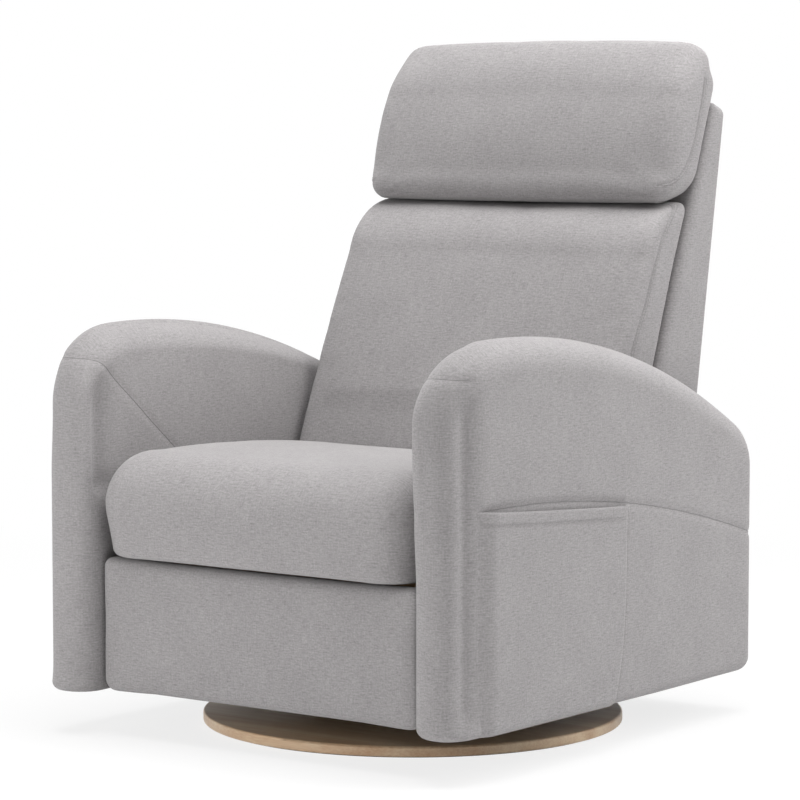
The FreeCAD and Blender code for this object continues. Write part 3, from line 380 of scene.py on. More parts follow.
def lay_cloth(piece):
    """Lay the weave flat on each face from the side that it faces most, in metres."""
    mesh = piece.data
    layer = mesh.uv_layers.get("cloth") or mesh.uv_layers.new(name="cloth")
    corner = np.empty(len(mesh.loops), np.int32)
    mesh.loops.foreach_get("vertex_index", corner)
    sizes = np.empty(len(mesh.polygons), np.int32)
    facing = np.empty(len(mesh.polygons) * 3, np.float32)
    mesh.polygons.foreach_get("loop_total", sizes)
    mesh.polygons.foreach_get("normal", facing)
    side = np.repeat(np.abs(facing.reshape(-1, 3)).argmax(axis=1), sizes)
    spots = points_of(piece)[corner]
    u = np.where(side == 0, spots[:, 1], spots[:, 0])
    v = np.where(side == 2, spots[:, 1], spots[:, 2])
    layer.data.foreach_set("uv", np.stack([u, v], axis=1).astype(np.float32).ravel())


def smooth(piece):
    piece.data.polygons.foreach_set("use_smooth", [True] * len(piece.data.polygons))


def carry(piece, body):
    """Smooth a finished piece, lay its cloth and name the body that it moves with."""
    smooth(piece)
    lay_cloth(piece)
    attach(piece, body)


def dress(piece, body, material, node):
    """Give a finished piece its cloth and the body it moves with, and hide the solid it stands for."""
    piece.data.materials.clear()
    piece.data.materials.append(material)
    carry(piece, body)
    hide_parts(node)


def upholster(piece, body, node):
    """Dress a stuffed cover in the chair's cloth."""
    dress(piece, body, heather, node)


# Shapes given by how far a point is from their surface
def edge_distance(spots, a, b):
    """Squared distance of spots to a straight edge."""
    edge = b - a
    away = spots - a
    along = np.clip(away @ edge / max(edge @ edge, 1e-18), 0, 1)
    return ((away - along[:, None] * edge) ** 2).sum(axis=1)


def outline_distance(spots, outline):
    """Signed distance of flat spots to a closed outline, below zero inside."""
    best = np.full(len(spots), 1e9)
    inside = np.zeros(len(spots), bool)
    for a, b in zip(outline, np.roll(outline, -1, axis=0)):
        best = np.minimum(best, edge_distance(spots, a, b))
        rise = b[1] - a[1]
        if abs(rise) > 1e-12:
            crosses = (a[1] > spots[:, 1]) != (b[1] > spots[:, 1])
            inside ^= crosses & (spots[:, 0] < a[0] + (b[0] - a[0]) * (spots[:, 1] - a[1]) / rise)
    return np.where(inside, -1, 1) * np.sqrt(best)


def ease(value, start, run):
    """Rises smoothly from 0 at a start to 1 a run further on; a run below zero goes the other way."""
    share = np.clip((value - start) / run, 0, 1)
    return share * share * (3 - 2 * share)


def rounded_both(first, second, radius):
    """What is inside both of two shapes, with a round of this radius where they meet."""
    corner = np.hypot(np.maximum(first + radius, 0), np.maximum(second + radius, 0))
    return np.minimum(np.maximum(first, second), -radius) + corner


def fit(piece, distance, rounds=4):
    """Draw every point of a piece onto the surface where a distance is zero."""
    spots = points_of(piece)
    step = 1e-5
    for _ in range(rounds):
        spots = relax(piece, spots, 2)
        for _ in range(2):
            here = distance(spots)
            slope = np.stack([(distance(spots + step * axis) - here) / step for axis in np.eye(3)], axis=1)
            spots = spots - here[:, None] * slope / np.maximum((slope ** 2).sum(axis=1), 0.25)[:, None]
    move_to(piece, spots)


def arc(centre, radius, start, end, count):
    """Points on a circle between two angles in degrees."""
    turn = np.radians(np.linspace(start, end, count))
    return np.stack([centre[0] + radius * np.cos(turn), centre[1] + radius * np.sin(turn)], axis=1)


def rounded_outline(corners, radii, steps=7):
    """A closed outline through corners, each with its own round."""
    spots = np.array(corners, float)
    out = []
    for i, radius in enumerate(radii):
        here, before, after = spots[i], spots[i - 1], spots[(i + 1) % len(spots)]
        one = (before - here) / np.linalg.norm(before - here)
        two = (after - here) / np.linalg.norm(after - here)
        half = math.acos(max(-1, min(1, one @ two))) / 2
        hub = here + (one + two) / np.linalg.norm(one + two) * radius / math.sin(half)
        first, last = here + one * radius / math.tan(half), here + two * radius / math.tan(half)
        for share in np.linspace(0, 1, steps):
            away = (first - hub) * (1 - share) + (last - hub) * share
            out.append(hub + away / np.linalg.norm(away) * radius)
    return np.array(out)


def prism(name, outline, low, high, spot):
    """A plain closed prism; spot turns outline coordinates and a depth into a point."""
    count = len(outline)
    points = [spot(u, v, depth) for depth in (low, high) for u, v in outline]
    sides = [(i, (i + 1) % count, count + (i + 1) % count, count + i) for i in range(count)]
    return new_piece(name, points, sides + [tuple(reversed(range(count))), tuple(range(count, 2 * count))])


def drawn_form(piece, distance, voxel):
    """A tight cover: a start form drawn onto its shape, and once more with finer faces."""
    remesh(piece, voxel)
    fit(piece, distance)
    divide(piece)
    fit(piece, distance, 1)


def padded_form(piece, distance, limits, voxel, keep):
    """A stuffed cover: a start form drawn onto its shape, blown up a little and held inside its limits."""
    remesh(piece, voxel)
    fit(piece, distance)
    puff(piece, keep)
    move_to(piece, limits(relax(piece, points_of(piece), 2)))
    divide(piece)
    move_to(piece, limits(relax(piece, points_of(piece), 1)))


# Seams and stitches
seam_paths = {"chair": [], "back": []}
stitch_paths = {"chair": [], "back": []}
fold_paths = []


def even_path(path, step):
    """The same line with points at an even step."""
    path = np.array(path, float)
    run = np.concatenate([[0], np.cumsum(np.linalg.norm(np.diff(path, axis=0), axis=1))])
    marks = np.linspace(0, run[-1], max(2, int(round(run[-1] / step)) + 1))
    return np.stack([np.interp(marks, run, path[:, k]) for k in range(3)], axis=1)


def surface_of(piece):
    """The faces of a piece, to find the nearest or the next place on them."""
    mesh = piece.data
    return BVHTree.FromPolygons([v.co for v in mesh.vertices], [p.vertices for p in mesh.polygons])


def on_surface(piece, path, lift=0.0):
    """Move a line onto the nearest points of a piece, then out by the lift."""
    surface = surface_of(piece)
    out = []
    for point in path:
        spot, normal, _, _ = surface.find_nearest(Vector(point))
        out.append(spot + normal * lift)
    return np.array(out)


def smooth_path(path, rounds):
    """A line with its bends eased and its ends kept."""
    path = np.array(path, float)
    for _ in range(rounds):
        path[1:-1] = 0.25 * path[:-2] + 0.5 * path[1:-1] + 0.25 * path[2:]
    return path


def path_distance(spots, path):
    """How far each spot is from a line through points."""
    best = np.full(len(spots), 1e9)
    for a, b in zip(path[:-1], path[1:]):
        best = np.minimum(best, edge_distance(spots, a, b))
    return np.sqrt(best)


def press(piece, path, depth, width):
    """Draw a soft valley along a line into a piece."""
    spots = points_of(piece)
    near = path_distance(spots, path)
    move_to(piece, spots - normals_of(piece) * (depth * np.exp(-(near / width) ** 2))[:, None])


def path_piece(name, paths):
    """One object that holds lines through points."""
    points, edges = [], []
    for path in paths:
        first = len(points)
        points.extend(path)
        edges.extend((first + i, first + i + 1) for i in range(len(path) - 1))
    return new_piece(name, points, edges=edges)


def new_grower(name, **sizes):
    """A geometry tree that takes a piece, its own sizes and a material."""
    inputs = {"Piece": "Geometry", "Material": "Material"}
    return new_tree(name, "GeometryNodeTree", inputs, sizes, {"Result": "Geometry"})


def close_grower(tree, given, out, shape):
    """End a geometry tree with real faces in its material."""
    real = place(tree, "GeometryNodeRealizeInstances", {0: shape.outputs[0]})
    done = place(tree, "GeometryNodeSetMaterial", {0: real.outputs[0], "Material": given["Material"]})
    tree.links.new(done.outputs[0], out["Result"])
    return tree


def tube_along(tree, curve, thickness, sides):
    """A closed round tube along a curve."""
    half = calc(tree, "MULTIPLY", thickness, 0.5)
    ring = place(tree, "GeometryNodeCurvePrimitiveCircle", {"Resolution": sides, "Radius": half})
    sockets = {"Curve": curve.outputs[0], "Profile Curve": ring.outputs[0], "Fill Caps": True}
    return place(tree, "GeometryNodeCurveToMesh", sockets)


def make_stitch_row():
    """Small rounded dashes at an even pitch along every line of a piece."""
    tree, given, out = new_grower("stitch_row", pitch=0.005, length=0.0036, thickness=0.0009)
    curve = place(tree, "GeometryNodeMeshToCurve", {0: given["Piece"]})
    spots = place(tree, "GeometryNodeCurveToPoints", {"Curve": curve.outputs[0], "Length": given["Pitch"]},
                  mode="LENGTH").outputs
    dash = place(tree, "GeometryNodeMeshUVSphere", {"Segments": 6, "Rings": 5, "Radius": 0.5})
    size = place(tree, "ShaderNodeCombineXYZ", {"X": given["Thickness"], "Y": given["Thickness"],
                                                "Z": given["Length"]})
    sized = place(tree, "GeometryNodeTransform", {"Geometry": dash.outputs[0], "Scale": size.outputs[0]})
    turn = place(tree, "FunctionNodeAlignRotationToVector", {"Vector": spots["Tangent"]}, axis="Z")
    sockets = {"Points": spots["Points"], "Instance": sized.outputs[0], "Rotation": turn.outputs[0]}
    return close_grower(tree, given, out, place(tree, "GeometryNodeInstanceOnPoints", sockets))


def make_seam_cord():
    """A thin round cord along every line of a piece, in the material given: a folded edge in the fabric, or a
    dark line of painted seam shade.
    """
    tree, given, out = new_grower("seam_cord", thickness=0.0012)
    curve = place(tree, "GeometryNodeMeshToCurve", {0: given["Piece"]})
    return close_grower(tree, given, out, tube_along(tree, curve, given["Thickness"], 6))


def make_coils():
    """A compression spring on every point of a piece."""
    tree, given, out = new_grower("coil_springs", turns=5.0, radius=0.014, height=0.05, wire=0.004)
    sockets = {"Resolution": 28, "Rotations": given["Turns"], "Start Radius": given["Radius"],
               "End Radius": given["Radius"], "Height": given["Height"]}
    spiral = place(tree, "GeometryNodeCurveSpiral", sockets)
    coil = tube_along(tree, spiral, given["Wire"], 8)
    sockets = {"Points": given["Piece"], "Instance": coil.outputs[0]}
    return close_grower(tree, given, out, place(tree, "GeometryNodeInstanceOnPoints", sockets))


def grow(piece, tree, **values):
    """Run a node tree on a piece with named inputs and keep the plain mesh."""
    wanted = {name.title(): value for name, value in values.items()}
    grown = piece.modifiers.new("grown", "NODES")
    grown.node_group = tree
    for item in tree.interface.items_tree:
        if item.item_type == "SOCKET" and item.in_out == "INPUT" and item.name in wanted:
            grown[item.identifier] = wanted[item.name]
    return settle(piece)


# Arms: a padded board with a rolled front, a long low crown on top and a seamed side
arm_low, arm_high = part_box("arm_left")
ARM_INNER_EDGE, ARM_OUTER_EDGE, ARM_TOP_EDGE = 0.043, 0.041, 0.0465
ARM_WAIST_EDGE, ARM_REAR_EDGE = 0.027, 0.010
ARM_CREST, ARM_FOOT = -0.240, 0.013
ARM_LEAN, ARM_LEAN_HEIGHT = 0.018, 0.140
ARM_TOP_RADIUS, ARM_FRONT_RADIUS, ARM_REAR_RADIUS = 1.150, 0.112, 0.080
arm_middle = (arm_low.x + arm_high.x) / 2
arm_half = (arm_high.x - arm_low.x) / 2


def arm_outline(bottom):
    """Side view of an arm: a small round at the rear, a long crown and a rolled front."""
    hub = np.array([ARM_CREST, arm_high.z - ARM_TOP_RADIUS])

    def into_crown(y, radius):
        """Centre of a round that runs on into the crown, and the angle where they meet."""
        z = hub[1] + math.sqrt((ARM_TOP_RADIUS - radius) ** 2 - (y - hub[0]) ** 2)
        return (y, z), math.degrees(math.atan2(z - hub[1], y - hub[0]))

    front, front_turn = into_crown(arm_low.y + ARM_FRONT_RADIUS, ARM_FRONT_RADIUS)
    rear, rear_turn = into_crown(arm_high.y - ARM_REAR_RADIUS, ARM_REAR_RADIUS)
    return np.concatenate([
        [(arm_high.y, bottom)], arc(rear, ARM_REAR_RADIUS, 0, rear_turn, 14),
        arc(hub, ARM_TOP_RADIUS, rear_turn, front_turn, 60)[1:-1],
        arc(front, ARM_FRONT_RADIUS, front_turn, 180, 24), [(arm_low.y, bottom)]])


ARM_SIDE_VIEW = arm_outline(arm_low.z - 0.3)


def arm_edge(x, z):
    """Radius of the rolled edge: tight above the seat on the inner side, and wider toward the top."""
    outer = ARM_OUTER_EDGE + (ARM_TOP_EDGE - ARM_OUTER_EDGE) * ease(z, 0.37, 0.09)
    inner = ARM_INNER_EDGE + (ARM_WAIST_EDGE - ARM_INNER_EDGE) * ease(z, 0.24, 0.20)
    inner = inner + (ARM_TOP_EDGE - ARM_WAIST_EDGE) * ease(z, 0.485, 0.075)
    return np.where(x > arm_middle, outer, inner)


def arm_lean(spots, side):
    """How far the inner face draws back toward the top, behind the rolled front."""
    near_top = np.clip(1 + np.minimum(side, 0) / ARM_LEAN_HEIGHT, 0, 1)
    behind = ease(spots[:, 1], -0.360, 0.080)
    return np.where(spots[:, 0] < arm_middle, ARM_LEAN * behind * near_top ** 2, 0)


def arm_distance(spots):
    """The arm's padded form, with a tighter inner edge where it meets the rear panel."""
    side = outline_distance(spots[:, 1:], ARM_SIDE_VIEW)
    edge = arm_edge(spots[:, 0], spots[:, 2])
    beside_panel = ease(spots[:, 1], 0.20, 0.12) * ease(spots[:, 2], 0.32, -0.06)
    edge = edge + (ARM_REAR_EDGE - edge) * np.where(spots[:, 0] < arm_middle, beside_panel, 0)
    across = np.abs(spots[:, 0] - arm_middle) - arm_half + arm_lean(spots, side)
    padded = rounded_both(side, across, edge)
    soft = ARM_FOOT + 0.008 * np.clip((spots[:, 1] - 0.1) / 0.25, 0, 1)
    return rounded_both(padded, arm_low.z - spots[:, 2], soft)


def arch_height(y):
    """Height of the long seam on the arm's outer side."""
    return 0.3625 - 0.238 * (y + 0.290) ** 2


arm = prism("arm_cover_left", arm_outline(arm_low.z), arm_low.x, arm_high.x, lambda u, v, d: (d, u, v))
drawn_form(arm, arm_distance, voxel=0.0075)

front_arc = arm_high.z - ARM_FRONT_RADIUS


def round_nose(turn, z):
    """A point on the rolled front, at an angle from straight ahead toward the outer side."""
    rise = max(z - front_arc, 0)
    back = ARM_FRONT_RADIUS - math.sqrt(ARM_FRONT_RADIUS ** 2 - rise ** 2)
    side = math.copysign(1, turn)
    edge = float(arm_edge(arm_middle + side, z))
    return (arm_middle + side * (arm_half - edge) + edge * math.sin(math.radians(turn)),
            arm_low.y + edge + back - edge * math.cos(math.radians(turn)), z)


# Places on the arm's outer side: the pocket's mouth falls toward the rear, and its rear edge leans
HEM_SPOTS = ((-0.368, -0.358, -0.323, -0.284, -0.235, -0.185, -0.134, -0.082, -0.018, 0.002),
             (0.3635, 0.362, 0.3585, 0.356, 0.3524, 0.349, 0.3457, 0.3423, 0.3392, 0.3380))
REAR_SPOTS = ((0.060, 0.109, 0.167, 0.245, 0.292, 0.331, 0.345),
              (-0.0315, -0.0165, -0.0063, -0.0014, -0.0005, 0.0005, 0.0008))
HEM_CURVE = np.polyfit(*HEM_SPOTS, 4)
REAR_CURVE = np.polyfit(*REAR_SPOTS, 4)

# Valleys behind the rolled front, on the outer and the inner side
VALLEY_Y, VALLEY_DEPTH, VALLEY_WIDTH, VALLEY_FRONT = -0.3745, 0.0125, 0.0205, 0.0190
VALLEY_TOP, VALLEY_BOTTOM = 0.545, 0.050
INNER_VALLEY_Y, INNER_VALLEY_DEPTH, INNER_VALLEY_WIDTH = -0.361, 0.0150, 0.0185
INNER_VALLEY_TOP, INNER_VALLEY_BOTTOM = 0.530, 0.360

# Seams: a long arch on the outer side, one over the nose and down the inner side, one behind the pocket
ARCH_FRONT, ARCH_REAR = -0.345, 0.325
arch = [(arm_high.x, y, arch_height(y)) for y in np.linspace(ARCH_FRONT, ARCH_REAR, 60)]
for turn in np.linspace(0.1, math.pi / 2, 10):
    x, y = arm_high.x - ARM_OUTER_EDGE * (1 - math.cos(turn)), ARCH_REAR + ARM_OUTER_EDGE * math.sin(turn)
    arch.append((x, y, arch_height(ARCH_REAR + 0.04 * turn)))
front_seam = [round_nose(turn, 0.5355) for turn in range(60, -60, -8)]
front_seam += [round_nose(turn, z) for turn, z in ((-62, 0.535), (-70, 0.533), (-78, 0.530), (-86, 0.526))]
front_seam += [(arm_low.x, y, z) for y, z in ((-0.348, 0.520), (-0.334, 0.509), (-0.320, 0.497),
                                              (-0.288, 0.470), (-0.256, 0.442), (-0.216, 0.410),
                                              (-0.174, 0.376))]
rear_line = [(arm_high.x, np.polyval(REAR_CURVE, z), z) for z in np.linspace(0.070, 0.334, 60)]
outer_valley = [(arm_high.x, VALLEY_Y, z) for z in np.linspace(VALLEY_TOP, VALLEY_BOTTOM, 40)]
inner_heights = np.linspace(INNER_VALLEY_TOP, INNER_VALLEY_BOTTOM, 24)
inner_valley = [(arm_low.x, INNER_VALLEY_Y, z) for z in inner_heights]
arch = on_surface(arm, even_path(arch, step=0.006))
front_seam = on_surface(arm, smooth_path(even_path(front_seam, step=0.005), 14))
ahead, height = points_of(arm)[:, 1] < VALLEY_Y, points_of(arm)[:, 2]
fade = ease(height, VALLEY_TOP, -0.075) * ease(height, 0.055, 0.05)
inner_fade = ease(height, INNER_VALLEY_TOP, -0.070)
press(arm, on_surface(arm, outer_valley), VALLEY_DEPTH * fade, np.where(ahead, VALLEY_FRONT, VALLEY_WIDTH))
press(arm, on_surface(arm, inner_valley), INNER_VALLEY_DEPTH * inner_fade, INNER_VALLEY_WIDTH)
press(arm, arch, depth=0.0020, width=0.005)
rear_line = on_surface(arm, rear_line)
press(arm, rear_line, depth=0.0022, width=0.005)
front_seam = smooth_path(on_surface(arm, front_seam), 6)
press(arm, front_seam, depth=0.0010, width=0.006)
arm_seams = [on_surface(arm, path) for path in (arch, front_seam, rear_line)]

MIRROR = (-1, 1, 1)


def both_sides(piece, right_name):
    """A piece of the left side and its mirror image, each with the side's name and the flip of its lines."""
    turned_over = [tuple(reversed(p.vertices)) for p in piece.data.polygons]
    mirrored = new_piece(right_name, points_of(piece) * MIRROR, turned_over)
    return ("left", piece, (1, 1, 1)), ("right", mirrored, MIRROR)


for side, piece, flip in both_sides(arm, "arm_cover_right"):
    upholster(piece, "chair", "arm_" + side)
    seam_paths["chair"] += [path * flip for path in arm_seams]

# Side pockets: one layer of cloth sewn on at three edges, with a hemmed mouth
_, pocket_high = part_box("pocket_left")
POCKET_FRONT, POCKET_CLOTH, HEM = -0.3520, 0.0030, 0.0185


def hem_height(y):
    return np.polyval(HEM_CURVE, y)


def arm_side(y):
    """X of the arm's outer side at one Y, with the valley behind the rolled front."""
    past = np.clip(arm_low.y + ARM_OUTER_EDGE - y, 0, ARM_OUTER_EDGE)
    return (arm_high.x - ARM_OUTER_EDGE + np.sqrt(ARM_OUTER_EDGE ** 2 - past ** 2)
            - VALLEY_DEPTH * np.exp(-((y - VALLEY_Y) / VALLEY_WIDTH) ** 2))


def pocket_spots(inner, columns=120, rows=100):
    """Points of the pocket's outer or inner face, from the bottom row to the hem."""
    u, v = np.meshgrid(np.linspace(0, 1, columns), np.linspace(0, 1, rows))
    low = arm_low.z + 0.002
    y = POCKET_FRONT * (1 - u)
    for _ in range(3):
        z = low + v * (hem_height(y) - low)
        y = POCKET_FRONT + u * (np.polyval(REAR_CURVE, z) - POCKET_FRONT)
    rear = np.polyval(REAR_CURVE, z)
    below_hem = hem_height(y) - z
    lifted = ease(y, POCKET_FRONT, 0.030) * ease(y, rear, -0.010)
    sewn = 0.0010 * (1 - u) ** 8 + 0.0024 * np.exp(-((rear - y) / 0.004) ** 2)
    proud = 0.0004 - sewn + (pocket_high.x - arm_high.x - 0.0004) * lifted
    if inner:
        proud = np.maximum(proud - POCKET_CLOTH, -0.0032)
    else:
        ends = ease(y, POCKET_FRONT, 0.010) * ease(y, rear, -0.030)
        proud = proud + 0.0005 * ends * (1 - ease(below_hem - HEM, -0.002, 0.004))
        proud = proud - 0.0016 * ends * np.exp(-((below_hem - HEM) / 0.0026) ** 2)
    turned = np.clip(ARM_FOOT - (z - arm_low.z), 0, ARM_FOOT) / ARM_FOOT
    tucked = ARM_FOOT * (1 - np.sqrt(1 - turned ** 2))
    return np.stack([arm_side(y) + proud - tucked, y, z], axis=2)


def pocket_piece(name):
    """A closed sheet whose rows go up the outer face, over the lip and down the inner face."""
    outer, inner = pocket_spots(False), pocket_spots(True)
    rows, columns = outer.shape[:2]
    lip = (outer[-1] + inner[-1]) / 2 + (0, 0, 0.0012)
    spots = np.concatenate([outer, lip[None], inner[::-1]])
    at = np.arange(len(spots) * columns).reshape(-1, columns)
    after = np.roll(at, -1, axis=0)
    quads = np.stack([at[:, :-1], at[:, 1:], after[:, 1:], after[:, :-1]], axis=2).reshape(-1, 4)
    faces = [tuple(quad) for quad in quads.tolist()]
    for end, way in ((at[:, 0].tolist(), 1), (at[:, -1].tolist(), -1)):
        cap = [(end[r], end[r + 1], end[-2 - r], end[-1 - r]) for r in range(rows - 1)]
        cap.append(tuple(end[rows - 1:rows + 2]))
        faces += [face[::way] for face in cap]
    return new_piece(name, spots.reshape(-1, 3), faces)


pocket = pocket_piece("pocket_cover_left")
hem_line = [(pocket_high.x + 0.02, y, hem_height(y) - HEM) for y in np.linspace(-0.342, -0.022, 90)]
hem_line = on_surface(pocket, hem_line, lift=0.0001)
for side, piece, flip in both_sides(pocket, "pocket_cover_right"):
    dress(piece, "chair", heather, "pocket_" + side)
    stitch_paths["chair"].append(hem_line * flip)


def bend(a, b, c, count):
    """Points on the circle through three points, without the first."""
    a, b, c = (np.array(p, float) for p in (a, b, c))
    rows = 2 * np.array([b - a, c - a])
    hub = np.linalg.solve(rows, [b @ b - a @ a, c @ c - a @ a])
    turns = np.unwrap([math.atan2(*(p - hub)[::-1]) for p in (a, b, c)])
    return [tuple(hub + np.linalg.norm(a - hub) * np.array([math.cos(t), math.sin(t)]))
            for t in np.linspace(turns[0], turns[2], count)[1:]]


def bent_outline(start, bends, end=()):
    """Straight points, then arcs that each go on through a point to another, then straight points."""
    outline = list(start)
    for through, to, count in bends:
        outline += bend(outline[-1], through, to, count)
    return np.array(outline + list(end))


# Seat cushion: thick foam with a rolled front, flat where it lies on the springs
seat_low, seat_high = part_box("seat_cushion")
SEAT_BOTTOM, SEAT_FRONT, SEAT_REAR = seat_low.z + 0.0003, seat_low.y, seat_high.y - 0.0003
SEAT_HALF, SEAT_TOP = arm_low.x - 0.0030, seat_high.z - 0.006
SEAT_VIEW = bent_outline(
    [(SEAT_REAR, 0.20), (SEAT_FRONT + 0.010, 0.20)],
    [((SEAT_FRONT + 0.003, 0.285), (SEAT_FRONT, SEAT_BOTTOM + 0.066), 9),
     ((SEAT_FRONT + 0.023, SEAT_TOP - 0.022), (SEAT_FRONT + 0.094, SEAT_TOP), 9),
     ((SEAT_FRONT + 0.277, SEAT_TOP - 0.002), (SEAT_REAR, SEAT_TOP - 0.018), 16)])


def seat_distance(spots):
    sunk = -0.0020 * (spots[:, 0] / SEAT_HALF) ** 2 * ease(spots[:, 2], 0.30, 0.06)
    view = outline_distance(spots[:, 1:], SEAT_VIEW) + sunk
    drawn_in = 0.011 * ease(spots[:, 2], 0.345, -0.09)
    rolled = rounded_both(view, np.abs(spots[:, 0]) - SEAT_HALF + drawn_in, 0.056)
    return rounded_both(rolled, SEAT_BOTTOM - spots[:, 2], 0.011)


def seat_limits(spots):
    """Clear of the arms, flat on the springs and cut back to the slope of the back cushion."""
    rear = SEAT_REAR - 0.42 * np.maximum(0.386 - spots[:, 2], 0)
    low = (-SEAT_HALF, SEAT_FRONT - 0.003, SEAT_BOTTOM)
    spots = np.clip(spots, low, (SEAT_HALF, SEAT_REAR, seat_high.z + 0.004))
    return np.stack([spots[:, 0], np.minimum(spots[:, 1], rear), spots[:, 2]], axis=1)


seat_start = np.maximum(SEAT_VIEW, (-1, SEAT_BOTTOM))[::-1]
seat = prism("seat_cover", seat_start, -SEAT_HALF, SEAT_HALF, lambda u, v, d: (d, u, v))
padded_form(seat, seat_distance, seat_limits, voxel=0.0065, keep=0.09)
upholster(seat, "chair", "seat_cushion")


# Upright panels: the footrest, which closes the front under the seat, and later the rear panel
def panel_view(half, low, high, radii):
    """Front outline of a panel, from its lower corners round."""
    return rounded_outline([(-half, low.z), (half, low.z), (half, high.z), (-half, high.z)], radii)


def panel_crown(spots, half, low, high, height):
    """How far a panel swells at a spot; it is flat along its edges."""
    across = np.clip(spots[:, 0] / half, -1, 1)
    up = np.clip((spots[:, 2] - (low.z + high.z) / 2) / ((high.z - low.z) / 2), -1, 1)
    return height * (1 - across ** 4) * (1 - up ** 4)


rest_low, rest_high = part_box("footrest_pad")
REST_HALF, REST_CROWN = arm_low.x - 0.0022, 0.0045
REST_BOX = ((-REST_HALF, rest_low.y, rest_low.z), (REST_HALF, rest_high.y, rest_high.z))
REST_VIEW = panel_view(REST_HALF, rest_low, rest_high, [0.018, 0.018, 0.010, 0.010])


def rest_distance(spots):
    crown = panel_crown(spots, REST_HALF, rest_low, rest_high, REST_CROWN)
    view = outline_distance(spots[:, [0, 2]], REST_VIEW)
    front = rounded_both(view, rest_low.y + 0.003 - crown - spots[:, 1], 0.008)
    return rounded_both(front, spots[:, 1] - rest_high.y, 0.002)


rest = prism("footrest_cover", REST_VIEW, rest_high.y, rest_low.y, lambda u, v, d: (u, d, v))
padded_form(rest, rest_distance, lambda spots: np.clip(spots, *REST_BOX), voxel=0.006, keep=0.12)
upholster(rest, "footrest", "footrest_pad")

# Back: a leaning frame of reference, in which the shell and its two cushions are drawn
LEAN = math.radians(20.86)
FOOT = (0.147, 0.300)


def lean_spot(x, across, along):
    """A point of the back from its place across and along the lean."""
    return (x, FOOT[0] + across * math.cos(LEAN) + along * math.sin(LEAN),
            FOOT[1] - across * math.sin(LEAN) + along * math.cos(LEAN))


def to_lean(spots):
    y, z = spots[:, 1] - FOOT[0], spots[:, 2] - FOOT[1]
    return np.stack([spots[:, 0], y * math.cos(LEAN) - z * math.sin(LEAN),
                     y * math.sin(LEAN) + z * math.cos(LEAN)], axis=1)


def from_lean(spots):
    return np.stack(lean_spot(spots[:, 0], spots[:, 1], spots[:, 2]), axis=1)


_, shell_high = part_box("back_shell")
SHELL_FOOT = (0.1514, 0.0577)
SHELL_TOP = (0.035, 0.640)
SHELL_FRONT = -0.0004
SHELL_HALF = shell_high.x + 0.0055
SHELL_SEAM = 0.252
SHELL_VIEW = rounded_outline([(SHELL_FRONT, 0), SHELL_FOOT, SHELL_TOP, (SHELL_FRONT, SHELL_TOP[1])],
                             [0.001, 0.012, 0.014, 0.008])


def shell_distance(spots):
    flat = to_lean(spots)
    view = outline_distance(flat[:, 1:], SHELL_VIEW)
    return rounded_both(view, np.abs(flat[:, 0]) - SHELL_HALF, 0.014)


shell = prism("back_shell_cover", SHELL_VIEW, -SHELL_HALF, SHELL_HALF, lambda u, v, d: lean_spot(d, u, v))
drawn_form(shell, shell_distance, voxel=0.0065)

# The shell's cloth is open at its foot and where the pillows lie on it
flat = to_lean(points_of(shell))
foot_line = np.array(SHELL_FOOT) / np.linalg.norm(SHELL_FOOT)
above_foot = flat[:, 2] * foot_line[0] - flat[:, 1] * foot_line[1]
behind_pillows = (np.abs(flat[:, 0]) < 0.200) & (flat[:, 2] < 0.560)
hidden = ((flat[:, 1] < 0.0006) & behind_pillows) | (above_foot < 0.0006)
kept = [tuple(p.vertices) for p in shell.data.polygons if not all(hidden[v] for v in p.vertices)]
used = sorted({v for face in kept for v in face})
renumber = {old: new for new, old in enumerate(used)}
spots = points_of(shell)[used]
bpy.data.objects.remove(shell)
shell = new_piece("back_shell_cover", spots, [tuple(renumber[v] for v in face) for face in kept])
for x in (-SHELL_SEAM, SHELL_SEAM):
    path = [lean_spot(x, 0.20, along) for along in np.linspace(0.085, 0.625, 100)]
    path = on_surface(shell, path)
    press(shell, path, depth=0.0016, width=0.005)
    seam_paths["back"].append(on_surface(shell, path, lift=0.0001))
shell = thicken(shell, 0.0012 + 0.0068 * ease(to_lean(points_of(shell))[:, 1], 0.006, 0.020))
upholster(shell, "back", "back_shell")


# The two pillows meet along a plane that falls toward the front, and a double seam runs down their ends
MEETING, FALL = 0.4868, 0.571
SEAM_APART = 0.0030


def above_meeting(flat):
    return (flat[:, 2] - MEETING - FALL * flat[:, 1]) / math.hypot(1, FALL)


def back_pillow(node, name, view, half, edge, crown, cut, limits, seam):
    """A stuffed cushion on the shell, with a double sewn seam on each end panel."""
    def distance(spots):
        flat = to_lean(spots)
        side = outline_distance(flat[:, 1:], view) + crown(flat[:, 2]) * (flat[:, 0] / half) ** 2
        ends = rounded_both(side, np.abs(flat[:, 0]) - half, edge(flat[:, 2]))
        laid = rounded_both(ends, flat[:, 1] + 0.0005, 0.014)
        return cut(laid, flat)

    start = np.clip(view, (-1, -0.03), (0, 0.70))
    pillow = prism(name, start[::-1], -half, half, lambda u, v, d: lean_spot(d, u, v))
    padded_form(pillow, distance, lambda spots: from_lean(limits(to_lean(spots))), voxel=0.0065, keep=0.20)
    surface = surface_of(pillow)
    for flip in (1, -1):
        for shift in (-SEAM_APART, 0.0, SEAM_APART):
            row = []
            for across, along in seam:
                inside = Vector(lean_spot(0.12 * flip, across + shift, along))
                spot, _, _, _ = surface.ray_cast(inside, Vector((flip, 0, 0)))
                if spot is not None:
                    row.append(spot)
            row = smooth_path(even_path(row, step=0.004), 4)
            if shift:
                press(pillow, row, depth=0.0010, width=0.0022)
                seam_paths["back"].append(on_surface(pillow, row, lift=0.0001))
                stitch_paths["back"].append(on_surface(pillow, row, lift=0.0003))
            else:
                fold_paths.append(on_surface(pillow, row, lift=-0.0013))
    upholster(pillow, "back", node)


